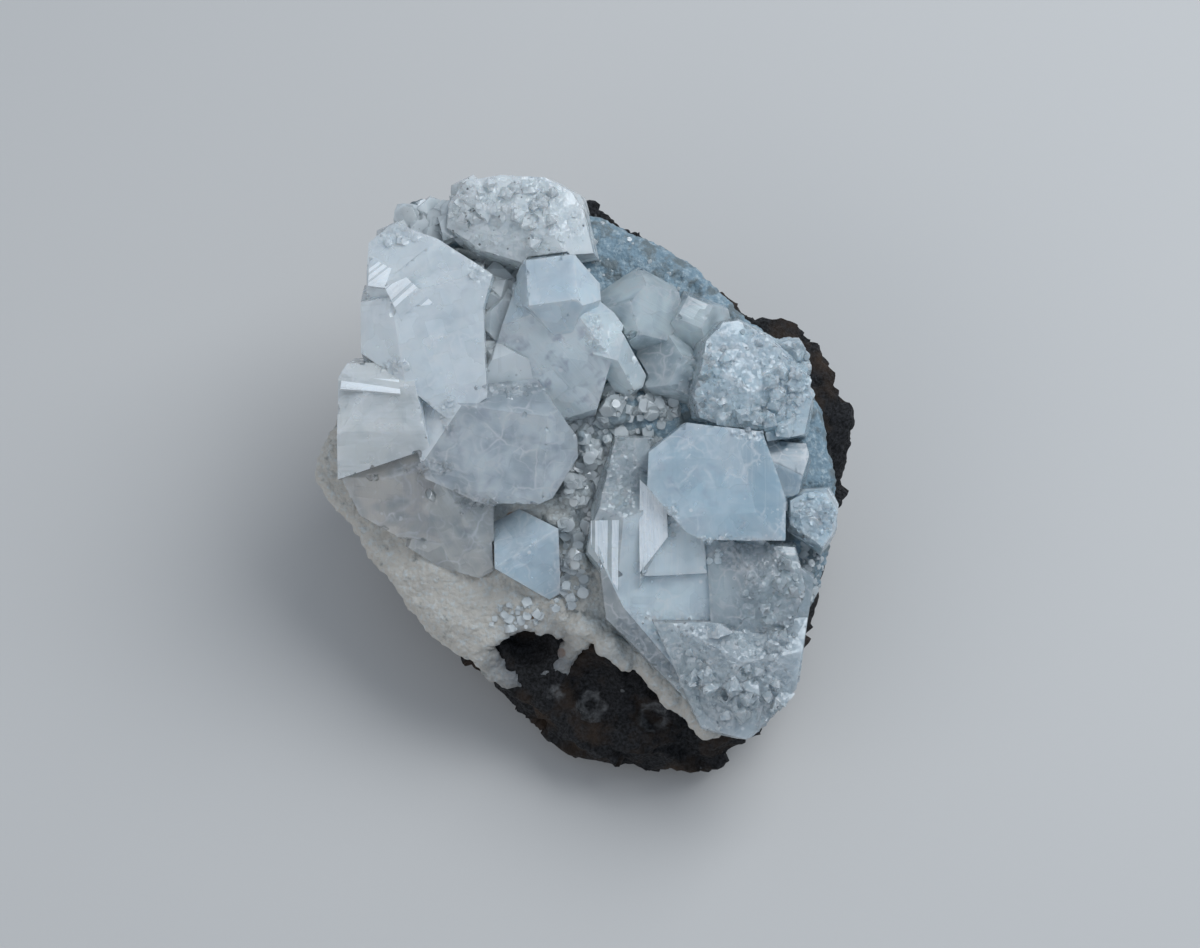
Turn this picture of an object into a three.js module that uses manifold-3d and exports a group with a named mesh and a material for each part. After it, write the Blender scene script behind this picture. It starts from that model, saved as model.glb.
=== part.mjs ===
// An apophyllite specimen: pale glassy tetragonal crystals on a blue-white drusy rind over dark basalt.
// Everything but the foot is laid out on the crystal plate, a plane that leans towards the front:
// x runs right, y runs up the plate and w stands out of it. Millimetres and degrees.
import * as THREE from 'three';
import Module from 'manifold-3d';
import { mergeVertices } from 'three/addons/utils/BufferGeometryUtils.js';
import { ImprovedNoise } from 'three/addons/math/ImprovedNoise.js';

const wasm = await Module();
wasm.setup();

// The plate's lean and the height of its origin over the resting face
const PLATE_LEAN = 23;
const PLATE_HEIGHT = 36;
// How finely the boulder and the rind are divided
const ROCK_DETAIL = 8;
const RIND_DETAIL = 7;
const CROWN_DETAIL = 5;
// Clear distance between two solids that meet
const GAP = 0.3;
const SEAT_GAP = 0.4;
// A pyramid face of apophyllite meets the c axis at this share of its reach along a
const PYRAMID_SLOPE = 0.803;
// Corners closer than this are one corner
const WELD = 1e-5;
// Sides of the blocks that cut a crystal's face, and that cut off what lies under the foot
const CUTTER = 90;
const GROUND_BLOCK = 200;
// Broad lumps and smaller knobs of a boulder: how many to its radius, and the knobs' share
const LUMP_PITCH = 2.6;
const KNOB_PITCH = 6.2;
const KNOB_SHARE = 0.5;
// Lumps on a narrow part of a boulder stay as low as on this half width
const LEAST_SIDE = 12;

// Basalt: half width by direction on the plate, every 15 degrees from the right
const ROCK_REACH = [
  38, 39, 39, 33, 32, 34, 39, 38, 34, 33, 32, 32,
  33, 30, 28, 29, 30, 33, 38.5, 42.5, 47, 42, 38, 36,
];
// Boulders. at: middle on the plate. up, down: heights over and under it. boxUp, boxDown: how round
// those halves are, from 0, boxy, to 1, round. lean: shift of the underside. knob: height of the lumps.
const ROCK = {
  at: [0, 0, -15], up: 7, down: 24.5, boxUp: 0.75, boxDown: 0.95, lean: 0.38, knob: 1.9, seed: 3,
};
// Broken sides of the basalt, each [x, y, w, turn, tilt]: a point on the break and where it looks
const ROCK_BREAKS = [
  [-31, 4, -20, 176, 112], [-23.5, -19, -20, 222, 110], [6, -39, -21, 268, 132], [31, -24, -22, 322, 112],
  [36.5, 12, -19, 16, 112], [12, 33, -22, 74, 114], [-20, 29, -22, 128, 118], [-2, -28, -27, 250, 142],
];
// Each vesicle: direction, drop below the rock's widest line, radius and depth
const VESICLES = [
  [277, 6, 2.6, 1.6], [289, 3, 2.2, 1.3], [262, 3, 1.8, 1.2], [297, 8, 1.6, 1.0],
  [20, 5, 2.2, 1.2], [88, 6, 2.4, 1.3], [150, 8, 2.0, 1.2], [215, 9, 2.2, 1.3],
];

// Rind: the same kind of reach, short at the front where the basalt shows
const RIND_REACH = [
  36.5, 36.5, 34.5, 33, 34, 35.5, 37.5, 37.5, 36, 35.5, 33.5, 34,
  37.5, 32.5, 30, 30.5, 30.5, 26, 22.5, 25.5, 37.5, 42.5, 39, 37,
];
const RIND = { at: [0, 0, -9.5], up: 5.5, down: 9, boxUp: 0.5, boxDown: 0.7, lean: 0, knob: 0.7, seed: 11 };
// The crystals' broken undersides curve in from this outline to the rind
const CROWN_REACH = [
  38.5, 36.5, 38, 35.5, 33, 38, 43.5, 45.5, 44.5, 44.5, 40, 36.5,
  35, 34.5, 31.5, 29.5, 27, 25, 25, 29, 44, 46.5, 41, 39.5,
];
const CROWN = { at: [0, 0, -0.5], up: 40, down: 14, boxUp: 0.2, boxDown: 0.8, lean: 0, knob: 0.5, seed: 7 };
// The dark hollow in the front of the rind
const HOLLOW = { at: [-7, -25, -10], radius: 5.5, squash: [1.3, 0.8, 1] };

// A big crystal that only its faces bound reaches from its root to this height over the plate
const BLOCK_TOP = 8;
const BLOCK_DEPTH = 18.5;
const BLOCK_MIDDLE = BLOCK_TOP - BLOCK_DEPTH / 2;
// Crystals. at: centre on the plate. axis: direction and lift of the c axis. spin: turn about it.
// half: half sizes along a, b and c. point: reach of the pyramid. cuts: faces grown against a
// neighbour or broken, each [x, y, w, turn, tilt]: a point on the face and where the face looks.
const BLOCK = { axis: [0, 90], spin: 0, half: [20, 20, BLOCK_DEPTH / 2], point: 90 };
const LEFT_CRYSTALS = {
  back_left: { ...BLOCK, at: [-20.5, 26, BLOCK_MIDDLE], cuts: [
    [-28.8, 29, 5, 177, 90], [-26.3, 34, 5, 129, 86], [-21.3, 34.2, 5, 57, 90], [-14.7, 31, 5, 69, 88],
    [-12, 25.3, 5, 344, 88], [-20, 14, 5, 280, 80], [-20, 24.2, 6, 108, 15], [-20, 24.2, 6, 300, 7],
    [-22.5, 23.5, 6, 208, 33],
  ] },
  back_tip: {
    at: [-24.6, 32.6, -4], axis: [130, 68], spin: 25, half: [3, 3.4, 7], point: 5.2,
    cuts: [],
  },
  left: { ...BLOCK, at: [-20.5, 15, BLOCK_MIDDLE], cuts: [
    [-12.4, 16, 5, 2, 88], [-15.6, 8.4, 5, 305, 86], [-20.2, 5.4, 5, 299, 88], [-24, 8.5, 5, 212, 80],
    [-27, 15.1, 4, 232, 84], [-29.7, 20.3, 4, 180, 88], [-22, 26, 4, 105, 75], [-20, 24.2, 6, 300, 7],
    [-25, 18, 5.2, 200, 32], [-20, 9, 5, 285, 24],
  ] },
  corner: { ...BLOCK, at: [-27.5, 8, BLOCK_MIDDLE], cuts: [
    [-32.9, 9, 4, 179, 90], [-32.3, 14.4, 4, 150, 88], [-27, 1.5, 4, 288, 88], [-21, 8, 4, 10, 80],
    [-28, 15.5, 4, 92, 84], [-28, 9, 4.8, 262, 9], [-28, 6, 4.3, 268, 26], [-28, 13.2, 4.4, 97, 34],
    [-30.8, 12, 4.2, 165, 24],
  ] },
  front: { ...BLOCK, at: [-10, 3, BLOCK_MIDDLE], cuts: [
    [-21.6, 2.2, 3, 197, 88], [-17, -2.2, 3, 246, 90], [-9, -4, 3, 269, 90], [-4, -3.6, 3, 295, 90],
    [-1.3, -0.4, 3, 328, 92], [0.4, 3.8, 3, 3, 90], [-0.6, 6.5, 3, 35, 88], [-10, 9.5, 4.2, 85, 40],
    [-11, 4, 4, 250, 8], [-3.7, 2, 3.8, 345, 34], [-14, -0.6, 3.4, 252, 24], [-18.5, 4, 4, 165, 22],
  ] },
  middle: {
    at: [-2.8, 16.8, -1.5], axis: [-18, 2], spin: 29, half: [9.2, 3.8, 8], point: 14.2,
    cuts: [],
  },
  high: {
    at: [-2.6, 25.2, 2.5], axis: [110, 69], spin: 31, half: [4.9, 5.6, 4.9], point: 8.7,
    cuts: [],
  },
  high_root: {
    at: [-3.5, 26, -5], axis: [60, 80], spin: 10, half: [5, 4.5, 7], point: 7.5,
    cuts: [],
  },
  wedge: {
    at: [5.2, 17.4, -2.5], axis: [129, 83], spin: 81, half: [6.6, 2.5, 6.7], point: 7.9,
    cuts: [],
  },
  shade_upper: { ...BLOCK, at: [-25, 0, BLOCK_MIDDLE], cuts: [
    [-31.7, -2.9, -2, 207, 88], [-27.8, -7, -2, 240, 84], [-20, -9.3, -2, 262, 80], [-16, -4, -2, 0, 85],
    [-24, 8, -2, 95, 80], [-32.8, 1, -2, 172, 86], [-26, -0.5, 0.5, 232, 27],
    [-22, -3.5, -0.2, 258, 22], [-30.5, 0.4, -1, 150, 20],
  ] },
  shade_lower: { ...BLOCK, at: [-17, -6, BLOCK_MIDDLE], cuts: [
    [-21.2, -11.6, -3, 238, 82], [-16.2, -13.8, -3, 255, 84], [-12.4, -14, -3, 297, 88],
    [-11.4, -9.1, -3, 0, 90], [-22.5, -6, -3, 172, 60], [-15, 2, -3, 90, 80], [-16.5, -6.5, -0.4, 243, 27],
    [-13.2, -6, -0.6, 335, 18],
  ] },
};
const RIGHT_CRYSTALS = {
  big: { ...BLOCK, at: [19.5, -1.5, BLOCK_MIDDLE], cuts: [
    [12.9, 5.2, 6, 128, 88], [20.7, 6.6, 6, 83, 90], [27.6, 1.2, 6, 19, 88], [29.1, -6.2, 6, 359, 88],
    [23.4, -9, 6, 270, 92], [16.6, -8.5, 6, 245, 92], [12.7, -4.8, 6, 221, 92], [10.1, 0.8, 6, 177, 90],
    [19.5, -1, 6.8, 205, 3], [25.5, -1, 6.6, 12, 15], [21, -6.6, 6.5, 262, 13], [14, 3.8, 6.4, 130, 22],
  ] },
  behind_big: { ...BLOCK, at: [29.5, 0.5, BLOCK_MIDDLE], cuts: [
    [30, 4.6, 0, 85, 88], [33, 2, 0, 15, 84], [31.5, -2, 0, 345, 80], [29, -5, 0, 270, 80],
    [24, 0, 0, 180, 85], [29.5, 1, 1, 60, 20], [29.5, 1, 1, 250, 12],
  ] },
  striped_left: { ...BLOCK, at: [6, -6, BLOCK_MIDDLE], cuts: [
    [2.1, -8.5, 2, 173, 86], [4.2, -0.7, 1, 162, 80], [4.1, -13.5, 1, 220, 80], [9.2, -10, 2, 355, 86],
    [6.4, -10, 3, 215, 25], [6.4, -10, 3, 300, 20], [6.4, -6, 4.2, 100, 26], [7, 5, 0, 90, 80],
  ] },
  striped_right: { ...BLOCK, at: [12.5, -8, BLOCK_MIDDLE], cuts: [
    [9, -9.5, 3.5, 180, 90], [12.5, -6.2, 3.5, 25, 75], [11.9, -9.9, 3.5, 327, 70], [10, -7, 3.8, 205, 14],
    [11, -1.5, 3.5, 60, 60], [12, -16, 2, 270, 80],
  ] },
  striped_low: { ...BLOCK, at: [14.5, -10.5, BLOCK_MIDDLE], cuts: [
    [18.2, -11.5, 3, 4, 88], [13.7, -13.9, 2.6, 273, 80], [10, -12.8, 2.6, 160, 70],
    [14.5, -10.5, 3.1, 290, 9], [15, -4, 2, 85, 85],
  ] },
  apron: { ...BLOCK, at: [18.5, -20, BLOCK_MIDDLE], cuts: [
    [4.3, -18.9, 0, 188, 86], [7.5, -23.2, 0, 226, 82], [13.3, -28.9, 0, 225, 84], [32.8, -19, 0, 352, 86],
    [31.6, -13, 0, 51, 84], [20, -8, 0, 90, 80], [26, -32, 0, 300, 84], [17, -19, 1, 262, 7],
    [26.5, -20, 1.4, 345, 20], [7.5, -18, 1.6, 213, 38], [14, -26, 0.3, 232, 22],
  ] },
  apron_right: { ...BLOCK, at: [25, -15, BLOCK_MIDDLE], cuts: [
    [31.5, -13, 1, 15, 84], [26, -9.6, 1, 84, 84], [18.4, -13, 1, 184, 86], [24, -19, 2.4, 282, 16],
    [27, -14, 2.9, 40, 14], [21, -14, 2.7, 200, 12], [25, -24, 1, 275, 70], [31, -19, 1, 340, 82],
  ] },
  apron_tip: { ...BLOCK, at: [23, -29, BLOCK_MIDDLE], cuts: [
    [16.9, -33.7, -1, 205, 86], [21.1, -36.4, -1, 256, 82], [27.7, -33.7, -1, 318, 84],
    [31.6, -26.5, -1, 351, 86], [22, -20, 0, 90, 75], [21.5, -27.5, 2.3, 232, 20],
    [24.5, -29.5, 1.6, 305, 24], [24, -24, 2.3, 70, 20],
  ] },
};
const BACK_CRYSTALS = {
  back_wide: {
    at: [9.3, 22.8, -6], axis: [205, 64], spin: 35, half: [6.2, 5.8, 7.5], point: 9.3,
    cuts: [],
  },
  back_right: {
    at: [17, 20.6, -7], axis: [95, 70], spin: 15, half: [5, 4.6, 6.6], point: 8,
    cuts: [],
  },
  back_low: {
    at: [13.4, 15.2, -6.5], axis: [-30, 66], spin: 50, half: [6, 5.4, 7], point: 8.8,
    cuts: [],
  },
  druse_host: { ...BLOCK, at: [24.5, 13, BLOCK_MIDDLE], cuts: [
    [18.9, 19.7, 1, 136, 80], [22.9, 21.6, 1, 97, 84], [26.8, 19.4, 1, 46, 80], [31, 17.2, 1, 62, 84],
    [32.4, 14, 1, 11, 84], [32.5, 7.8, 1, 347, 82], [29.7, 5.2, 1, 281, 86], [22.3, 6.2, 1, 250, 86],
    [16.7, 10, 1, 195, 80], [17, 14.6, 1, 169, 75], [24, 14, 3.4, 70, 14], [27, 11, 3.3, 320, 17],
    [20.5, 11, 3.1, 215, 15],
  ] },
  druse_corner: {
    at: [30.3, 16.6, -5], axis: [50, 62], spin: 20, half: [2.6, 2.4, 6.4], point: 4.2,
    cuts: [],
  },
};
const SUMMIT_CRYSTALS = {
  summit_host: { ...BLOCK, at: [-8.5, 36, BLOCK_MIDDLE], cuts: [
    [-17.6, 36.3, 2, 175, 86], [-16.3, 39.4, 2, 142, 84], [-12.9, 41.3, 2, 100, 86],
    [-7.3, 41.6, 2, 87, 86], [-2.3, 40.5, 2, 61, 84], [0.2, 38.4, 2, 30, 80], [1.9, 33.6, 2, 14, 84],
    [-4.9, 29.8, 2, 279, 84], [-10.4, 30.4, 2, 253, 80], [-15.6, 33, 2, 234, 78],
    [-8, 36.5, 4.2, 92, 14], [-8, 35.5, 4.2, 250, 16], [-3, 36, 3.8, 12, 26], [-13, 36, 3.7, 190, 22],
  ] },
  summit_tip: {
    at: [-14.9, 39.4, -4.5], axis: [120, 70], spin: 40, half: [2.6, 2.4, 6.8], point: 4.3,
    cuts: [],
  },
};
const BLUE_CRYSTAL = {
  at: [-6.8, -10.8, -5], axis: [-58, 5], spin: 42, half: [8.7, 7.4, 7.6], point: 7.4,
  cuts: [],
};
const EDGE_CRYSTAL = { ...BLOCK, at: [33.4, -5.6, BLOCK_MIDDLE], cuts: [
  [30.1, -5.4, 1, 180, 88], [31.2, -3, 1, 118, 84], [33.6, -2.5, 1, 92, 84], [36, -3.8, 0.5, 30, 80],
  [36.6, -6.4, 0, 354, 84], [35.5, -9.1, 0, 326, 82], [32.6, -8.8, 0, 236, 80], [32.6, -5, 1.8, 110, 20],
  [33.6, -6.2, 1.7, 320, 26], [31.6, -6, 1.7, 215, 14],
] };

// Druses: small crystals scattered on an oval of a host, each oval
// [x, y, half width, half height, turn, count, size]
const SUMMIT_DRUSE = [[-9, 36.5, 8, 5, -5, 20, 1.3]];
const BACK_DRUSE = [[25.5, 12.5, 7.5, 7, 0, 20, 1.4]];
const RIGHT_DRUSE = [[23, -28, 7.5, 7, 40, 18, 1.5], [28.5, -18, 3, 6, 0, 8, 1.5]];
const VALLEY_DRUSE = [
  [6, 7, 8, 5, 20, 16, 2.2], [0.5, -4.5, 2.8, 9, -12, 10, 2], [-2, -17, 4, 3, -30, 5, 1.5],
];
const DRUSE_SEEDS = { right: 21, back: 33, summit: 45, valley: 57 };
// A small crystal of size 1, as [reach, height] along its edge, and how far it may lean
const SMALL_CRYSTAL = [[0, -1.2], [0.75, -1.2], [0.75, 0.35], [0, 1.15]];
const SMALL_CRYSTAL_LEAN = 1.5;

const rad = THREE.MathUtils.degToRad;
const relief = new ImprovedNoise();

// Seeded random numbers between 0 and 1
function randomFrom(seed) {
  let state = seed;
  return () => {
    state = (state + 0x6d2b79f5) | 0;
    let t = Math.imul(state ^ (state >>> 15), 1 | state);
    t = (t + Math.imul(t ^ (t >>> 7), 61 | t)) ^ t;
    return ((t ^ (t >>> 14)) >>> 0) / 4294967296;
  };
}

// A closed three.js geometry as a solid for joining and cutting
function solid(geometry, matrix = null) {
  const shape = geometry.clone();
  if (matrix) shape.applyMatrix4(matrix);
  for (const name of ['normal', 'uv']) shape.deleteAttribute(name);
  const merged = mergeVertices(shape, WELD);
  return new wasm.Manifold(new wasm.Mesh({
    numProp: 3,
    vertProperties: new Float32Array(merged.attributes.position.array),
    triVerts: new Uint32Array(merged.index.array),
  }));
}

// The unit vector that faces a direction on the plate and is tilted away from the w axis
function facing(turn, tilt) {
  const level = Math.sin(rad(tilt));
  return new THREE.Vector3(Math.cos(rad(turn)) * level, Math.sin(rad(turn)) * level, Math.cos(rad(tilt)));
}

// Crystal axes to plate axes
function crystalMatrix({ at, axis: [turn, lift], spin }) {
  const c = facing(turn, 90 - lift);
  const level = new THREE.Vector3(-Math.sin(rad(turn)), Math.cos(rad(turn)), 0);
  const a = level.clone().applyAxisAngle(c, rad(spin));
  const b = new THREE.Vector3().crossVectors(c, a);
  return new THREE.Matrix4().makeBasis(a, b, c).setPosition(...at);
}

// Cuts away everything beyond a plane
function cutBeyond(body, [x, y, w, turn, tilt], extra) {
  const normal = facing(turn, tilt);
  const place = new THREE.Matrix4().makeRotationFromQuaternion(
    new THREE.Quaternion().setFromUnitVectors(new THREE.Vector3(0, 0, 1), normal),
  );
  place.setPosition(new THREE.Vector3(x, y, w).addScaledVector(normal, CUTTER / 2 + extra));
  return body.subtract(solid(new THREE.BoxGeometry(CUTTER, CUTTER, CUTTER), place));
}

// One crystal: a prism box whose corners are cut by the pyramid faces
function crystal(form, extra = 0) {
  const place = crystalMatrix(form);
  const [a, b, c] = form.half.map((half) => 2 * (half + extra));
  const reach = form.point + extra * Math.sqrt(2 + PYRAMID_SLOPE ** 2);
  const prism = solid(new THREE.BoxGeometry(a, b, c), place);
  const pyramids = new THREE.OctahedronGeometry(1).scale(reach, reach, reach / PYRAMID_SLOPE);
  let body = prism.intersect(solid(pyramids, place));
  for (const cut of form.cuts) body = cutBeyond(body, cut, extra);
  return body;
}

// Many bodies as one
function join(bodies) {
  return bodies.reduce((sum, body) => sum.add(body));
}

// A group of crystals that grew as one
function cluster(forms, extra = 0) {
  return join(Object.values(forms).map((form) => crystal(form, extra)));
}

// Reach in a direction, blended between the listed ones
function reachAt(list, angle) {
  const place = ((angle / (2 * Math.PI)) * list.length + list.length) % list.length;
  const low = Math.floor(place);
  const part = place - low;
  const smooth = part * part * (3 - 2 * part);
  return THREE.MathUtils.lerp(list[low % list.length], list[(low + 1) % list.length], smooth);
}

// How much further out a side must move to shift square to itself by one unit
function steepness(list, angle) {
  const step = rad(3.5);
  const change = (reachAt(list, angle + step) - reachAt(list, angle - step)) / (2 * step);
  return Math.hypot(1, change / reachAt(list, angle));
}

// How high a boulder's lumps stand in a direction
function lumpAt(d, seed) {
  const broad = relief.noise(d.x * LUMP_PITCH + seed, d.y * LUMP_PITCH, d.z * LUMP_PITCH);
  const small = relief.noise(d.x * KNOB_PITCH, d.y * KNOB_PITCH + seed, d.z * KNOB_PITCH);
  return broad + KNOB_SHARE * small;
}

// A lumpy boulder: a sphere pulled out to its reach in each direction, flatter above than below
function boulder(shape, reaches, detail, extra = 0) {
  const { at, up, down, boxUp, boxDown, lean, knob, seed } = shape;
  const ball = new THREE.IcosahedronGeometry(1, detail);
  for (const name of ['normal', 'uv']) ball.deleteAttribute(name);
  const geometry = mergeVertices(ball, WELD);
  const points = geometry.attributes.position;
  const d = new THREE.Vector3();
  for (let i = 0; i < points.count; i += 1) {
    d.fromBufferAttribute(points, i).normalize();
    const flat = Math.hypot(d.x, d.y);
    const box = d.z > 0 ? boxUp : boxDown;
    const turn = Math.atan2(d.y, d.x);
    const side = reachAt(reaches, turn) * flat ** box;
    const grown = extra * steepness(reaches, turn);
    const lump = lumpAt(d, seed);
    const reach = side * (1 + (knob * lump + grown) / Math.max(side, LEAST_SIDE));
    const height = (d.z > 0 ? up : down) * Math.sign(d.z) * Math.abs(d.z) ** box;
    points.setXYZ(
      i,
      reach * Math.cos(turn),
      reach * Math.sin(turn) + lean * Math.min(height, 0),
      height + Math.sign(d.z) * extra + knob * lump * Math.abs(d.z),
    );
  }
  return solid(geometry, new THREE.Matrix4().setPosition(...at));
}

// The plate's place over the ground
const plateMatrix = new THREE.Matrix4().makeRotationX(rad(PLATE_LEAN)).setPosition(0, 0, PLATE_HEIGHT);
const groundMatrix = plateMatrix.clone().invert();

// Everything under the resting face
function underground() {
  const place = groundMatrix.clone().multiply(new THREE.Matrix4().setPosition(0, 0, -GROUND_BLOCK / 2));
  return solid(new THREE.BoxGeometry(GROUND_BLOCK, GROUND_BLOCK, GROUND_BLOCK), place);
}

// Where the vertical line through a plate point meets the top of a body
function topFinder(body) {
  const mesh = new THREE.Mesh(geometryOf(body), new THREE.MeshBasicMaterial({ side: THREE.DoubleSide }));
  const ray = new THREE.Raycaster();
  return (x, y) => {
    ray.set(new THREE.Vector3(x, y, CUTTER), new THREE.Vector3(0, 0, -1));
    return ray.intersectObject(mesh)[0];
  };
}

// A small crystal: a square prism with a pyramid on its upper end
function smallCrystal(size, normal, random) {
  const profile = SMALL_CRYSTAL.map(([r, h]) => new THREE.Vector2(r * size, h * size));
  const geometry = new THREE.LatheGeometry(profile, 4);
  const lean = new THREE.Vector3(random() - 0.5, random() - 0.5, random() - 0.5)
    .multiplyScalar(SMALL_CRYSTAL_LEAN);
  const up = normal.clone().add(lean).normalize();
  const place = new THREE.Matrix4().makeRotationFromQuaternion(
    new THREE.Quaternion().setFromUnitVectors(new THREE.Vector3(0, 1, 0), up),
  );
  return { geometry, place: place.multiply(new THREE.Matrix4().makeRotationY(random() * Math.PI)) };
}

// Small crystals set on the top of a host, inside each oval
function druse(host, ovals, seed) {
  const random = randomFrom(seed);
  const topOf = topFinder(host);
  const pieces = [];
  for (const [x, y, halfWidth, halfHeight, turn, count, size] of ovals) {
    for (let i = 0; i < count; i += 1) {
      const r = Math.sqrt(random());
      const angle = random() * 2 * Math.PI;
      const p = r * Math.cos(angle) * halfWidth;
      const q = r * Math.sin(angle) * halfHeight;
      const px = x + p * Math.cos(rad(turn)) - q * Math.sin(rad(turn));
      const py = y + p * Math.sin(rad(turn)) + q * Math.cos(rad(turn));
      const hit = topOf(px, py);
      const own = size * (0.6 + 0.8 * random());
      if (!hit) continue;
      const { geometry, place } = smallCrystal(own, hit.face.normal, random);
      place.setPosition(hit.point.x, hit.point.y, hit.point.z);
      pieces.push(solid(geometry, place));
    }
  }
  return pieces;
}

// The largest body of a solid that a cut left in pieces
function largest(body) {
  return body.decompose().reduce((best, piece) => (piece.volume() > best.volume() ? piece : best));
}

// A solid as a three.js geometry
function geometryOf(body) {
  const mesh = body.getMesh();
  const geometry = new THREE.BufferGeometry();
  geometry.setAttribute('position', new THREE.BufferAttribute(new Float32Array(mesh.vertProperties), 3));
  geometry.setIndex(new THREE.BufferAttribute(new Uint32Array(mesh.triVerts), 1));
  geometry.computeVertexNormals();
  return geometry;
}

// Basalt with its flat foot and its vesicles
function basalt(extra = 0) {
  let body = boulder(ROCK, ROCK_REACH, ROCK_DETAIL, extra).subtract(underground());
  for (const side of ROCK_BREAKS) body = cutBeyond(body, side, extra);
  if (extra > 0) return body;
  for (const [turn, drop, radius, depth] of VESICLES) {
    const out = reachAt(ROCK_REACH, rad(turn)) + radius - depth;
    const centre = new THREE.Vector3(Math.cos(rad(turn)), Math.sin(rad(turn)), 0).multiplyScalar(out);
    centre.z = ROCK.at[2] - drop;
    const bubble = new THREE.IcosahedronGeometry(radius, 1).translate(...centre);
    body = body.subtract(solid(bubble));
  }
  return body;
}

// The dark hollow's space
function hollow() {
  const space = new THREE.IcosahedronGeometry(HOLLOW.radius, 3).scale(...HOLLOW.squash);
  return solid(space.translate(...HOLLOW.at));
}

const rock = basalt();
const bed = boulder(RIND, RIND_REACH, RIND_DETAIL);
const bedGrown = boulder(RIND, RIND_REACH, RIND_DETAIL, SEAT_GAP).add(basalt(GAP));

// Each cluster with its druse, seated on the bed
const left = cluster(LEFT_CRYSTALS);
const right = cluster(RIGHT_CRYSTALS);
const back = cluster(BACK_CRYSTALS);
const summit = cluster(SUMMIT_CRYSTALS);
const edge = crystal(EDGE_CRYSTAL);
const blue = crystal(BLUE_CRYSTAL);

const leftGrown = cluster(LEFT_CRYSTALS, GAP);
const rightGrown = cluster(RIGHT_CRYSTALS, GAP);
const backGrown = cluster(BACK_CRYSTALS, GAP);
const blueGrown = crystal(BLUE_CRYSTAL, GAP);
const edgeGrown = crystal(EDGE_CRYSTAL, GAP);

const crown = boulder(CROWN, CROWN_REACH, CROWN_DETAIL);
const leftCluster = left.intersect(crown).subtract(blueGrown).subtract(bedGrown);
const rightCluster = join([right, ...druse(right, RIGHT_DRUSE, DRUSE_SEEDS.right)]).intersect(crown)
  .subtract(leftGrown).subtract(edgeGrown).subtract(bedGrown);
const backCluster = join([back, ...druse(back, BACK_DRUSE, DRUSE_SEEDS.back)]).intersect(crown)
  .subtract(leftGrown).subtract(rightGrown).subtract(bedGrown);
const summitCluster = join([summit, ...druse(summit, SUMMIT_DRUSE, DRUSE_SEEDS.summit)]).intersect(crown)
  .subtract(leftGrown).subtract(backGrown).subtract(bedGrown);

// The rind, with the small crystals of the valley between the clusters
const summitGrown = cluster(SUMMIT_CRYSTALS, GAP);
const neighbours = join([leftGrown, rightGrown, backGrown, summitGrown, blueGrown, edgeGrown]);
const valley = join(druse(bed, VALLEY_DRUSE, DRUSE_SEEDS.valley)).subtract(neighbours);
const rind = bed.add(valley).subtract(hollow()).subtract(basalt(SEAT_GAP));

const specimen = new THREE.Group();
const plate = new THREE.Group();
plate.rotation.x = rad(PLATE_LEAN);
plate.position.z = PLATE_HEIGHT;
specimen.add(plate);

function addNode(name, body, color, roughness) {
  const material = new THREE.MeshStandardMaterial({ color, roughness, metalness: 0 });
  const mesh = new THREE.Mesh(geometryOf(largest(body)), material);
  mesh.name = name;
  plate.add(mesh);
}

addNode('basalt_matrix', rock, 0x1d1c1c, 0.85);
addNode('drusy_rind', rind, 0xa9b4b8, 0.5);
addNode('left_crystals', leftCluster, 0xaab6bd, 0.15);
addNode('right_crystals', rightCluster, 0xa5b5bf, 0.15);
addNode('back_crystals', backCluster, 0x9cb0ba, 0.2);
addNode('summit_crystals', summitCluster, 0xa8b6bd, 0.2);
addNode('small_blue_crystal', blue.subtract(bedGrown), 0x9db4c3, 0.15);
addNode('edge_crystal', edge.intersect(crown).subtract(bedGrown), 0xa3bccb, 0.2);

// The frame's origin under the middle of the object, at the resting face
const box = new THREE.Box3().setFromObject(specimen, true);
const middle = box.getCenter(new THREE.Vector3());
specimen.position.set(-middle.x, -middle.y, -box.min.z);

export default specimen;
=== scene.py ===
"""An apophyllite hand specimen: glassy crystals and druse on a chalky rind over basalt."""

import logging
import math
import random
from dataclasses import dataclass
from enum import Enum
from typing import Callable, NamedTuple, Optional, Sequence

import bmesh
import bpy
import numpy as np
from mathutils import Matrix, Vector, noise
from mathutils.bvhtree import BVHTree
from mathutils.kdtree import KDTree


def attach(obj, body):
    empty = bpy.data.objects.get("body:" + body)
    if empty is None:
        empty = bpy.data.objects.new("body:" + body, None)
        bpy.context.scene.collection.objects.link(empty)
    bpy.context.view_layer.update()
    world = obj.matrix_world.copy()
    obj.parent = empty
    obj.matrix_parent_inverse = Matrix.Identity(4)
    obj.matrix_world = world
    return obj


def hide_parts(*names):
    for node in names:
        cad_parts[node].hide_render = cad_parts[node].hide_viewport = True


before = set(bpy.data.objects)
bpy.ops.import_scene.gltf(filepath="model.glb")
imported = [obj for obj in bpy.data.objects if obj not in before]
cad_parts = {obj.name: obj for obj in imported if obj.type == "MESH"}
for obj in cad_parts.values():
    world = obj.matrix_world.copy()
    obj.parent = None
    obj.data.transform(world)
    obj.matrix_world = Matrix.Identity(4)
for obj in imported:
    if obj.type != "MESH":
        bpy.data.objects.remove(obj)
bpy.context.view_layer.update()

log = logging.getLogger("apophyllite")

MM = 0.001

# The crystal plate leans towards the viewer. Places on it are given across it to the right (x),
# up it (y) and out of it (w), in millimetres, as in the part's own source.
PLATE_LEAN = math.radians(23)
PLATE_HEIGHT = 36.0
PLATE_SHIFT = (-0.92, -3.97, 0.0)

# Apophyllite: the slope of its pyramid faces, and its refractive index
PYRAMID_SLOPE = 0.803
REFRACTIVE_INDEX = 1.535

Colour = tuple[float, float, float]
Point = tuple[float, float, float]


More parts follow.
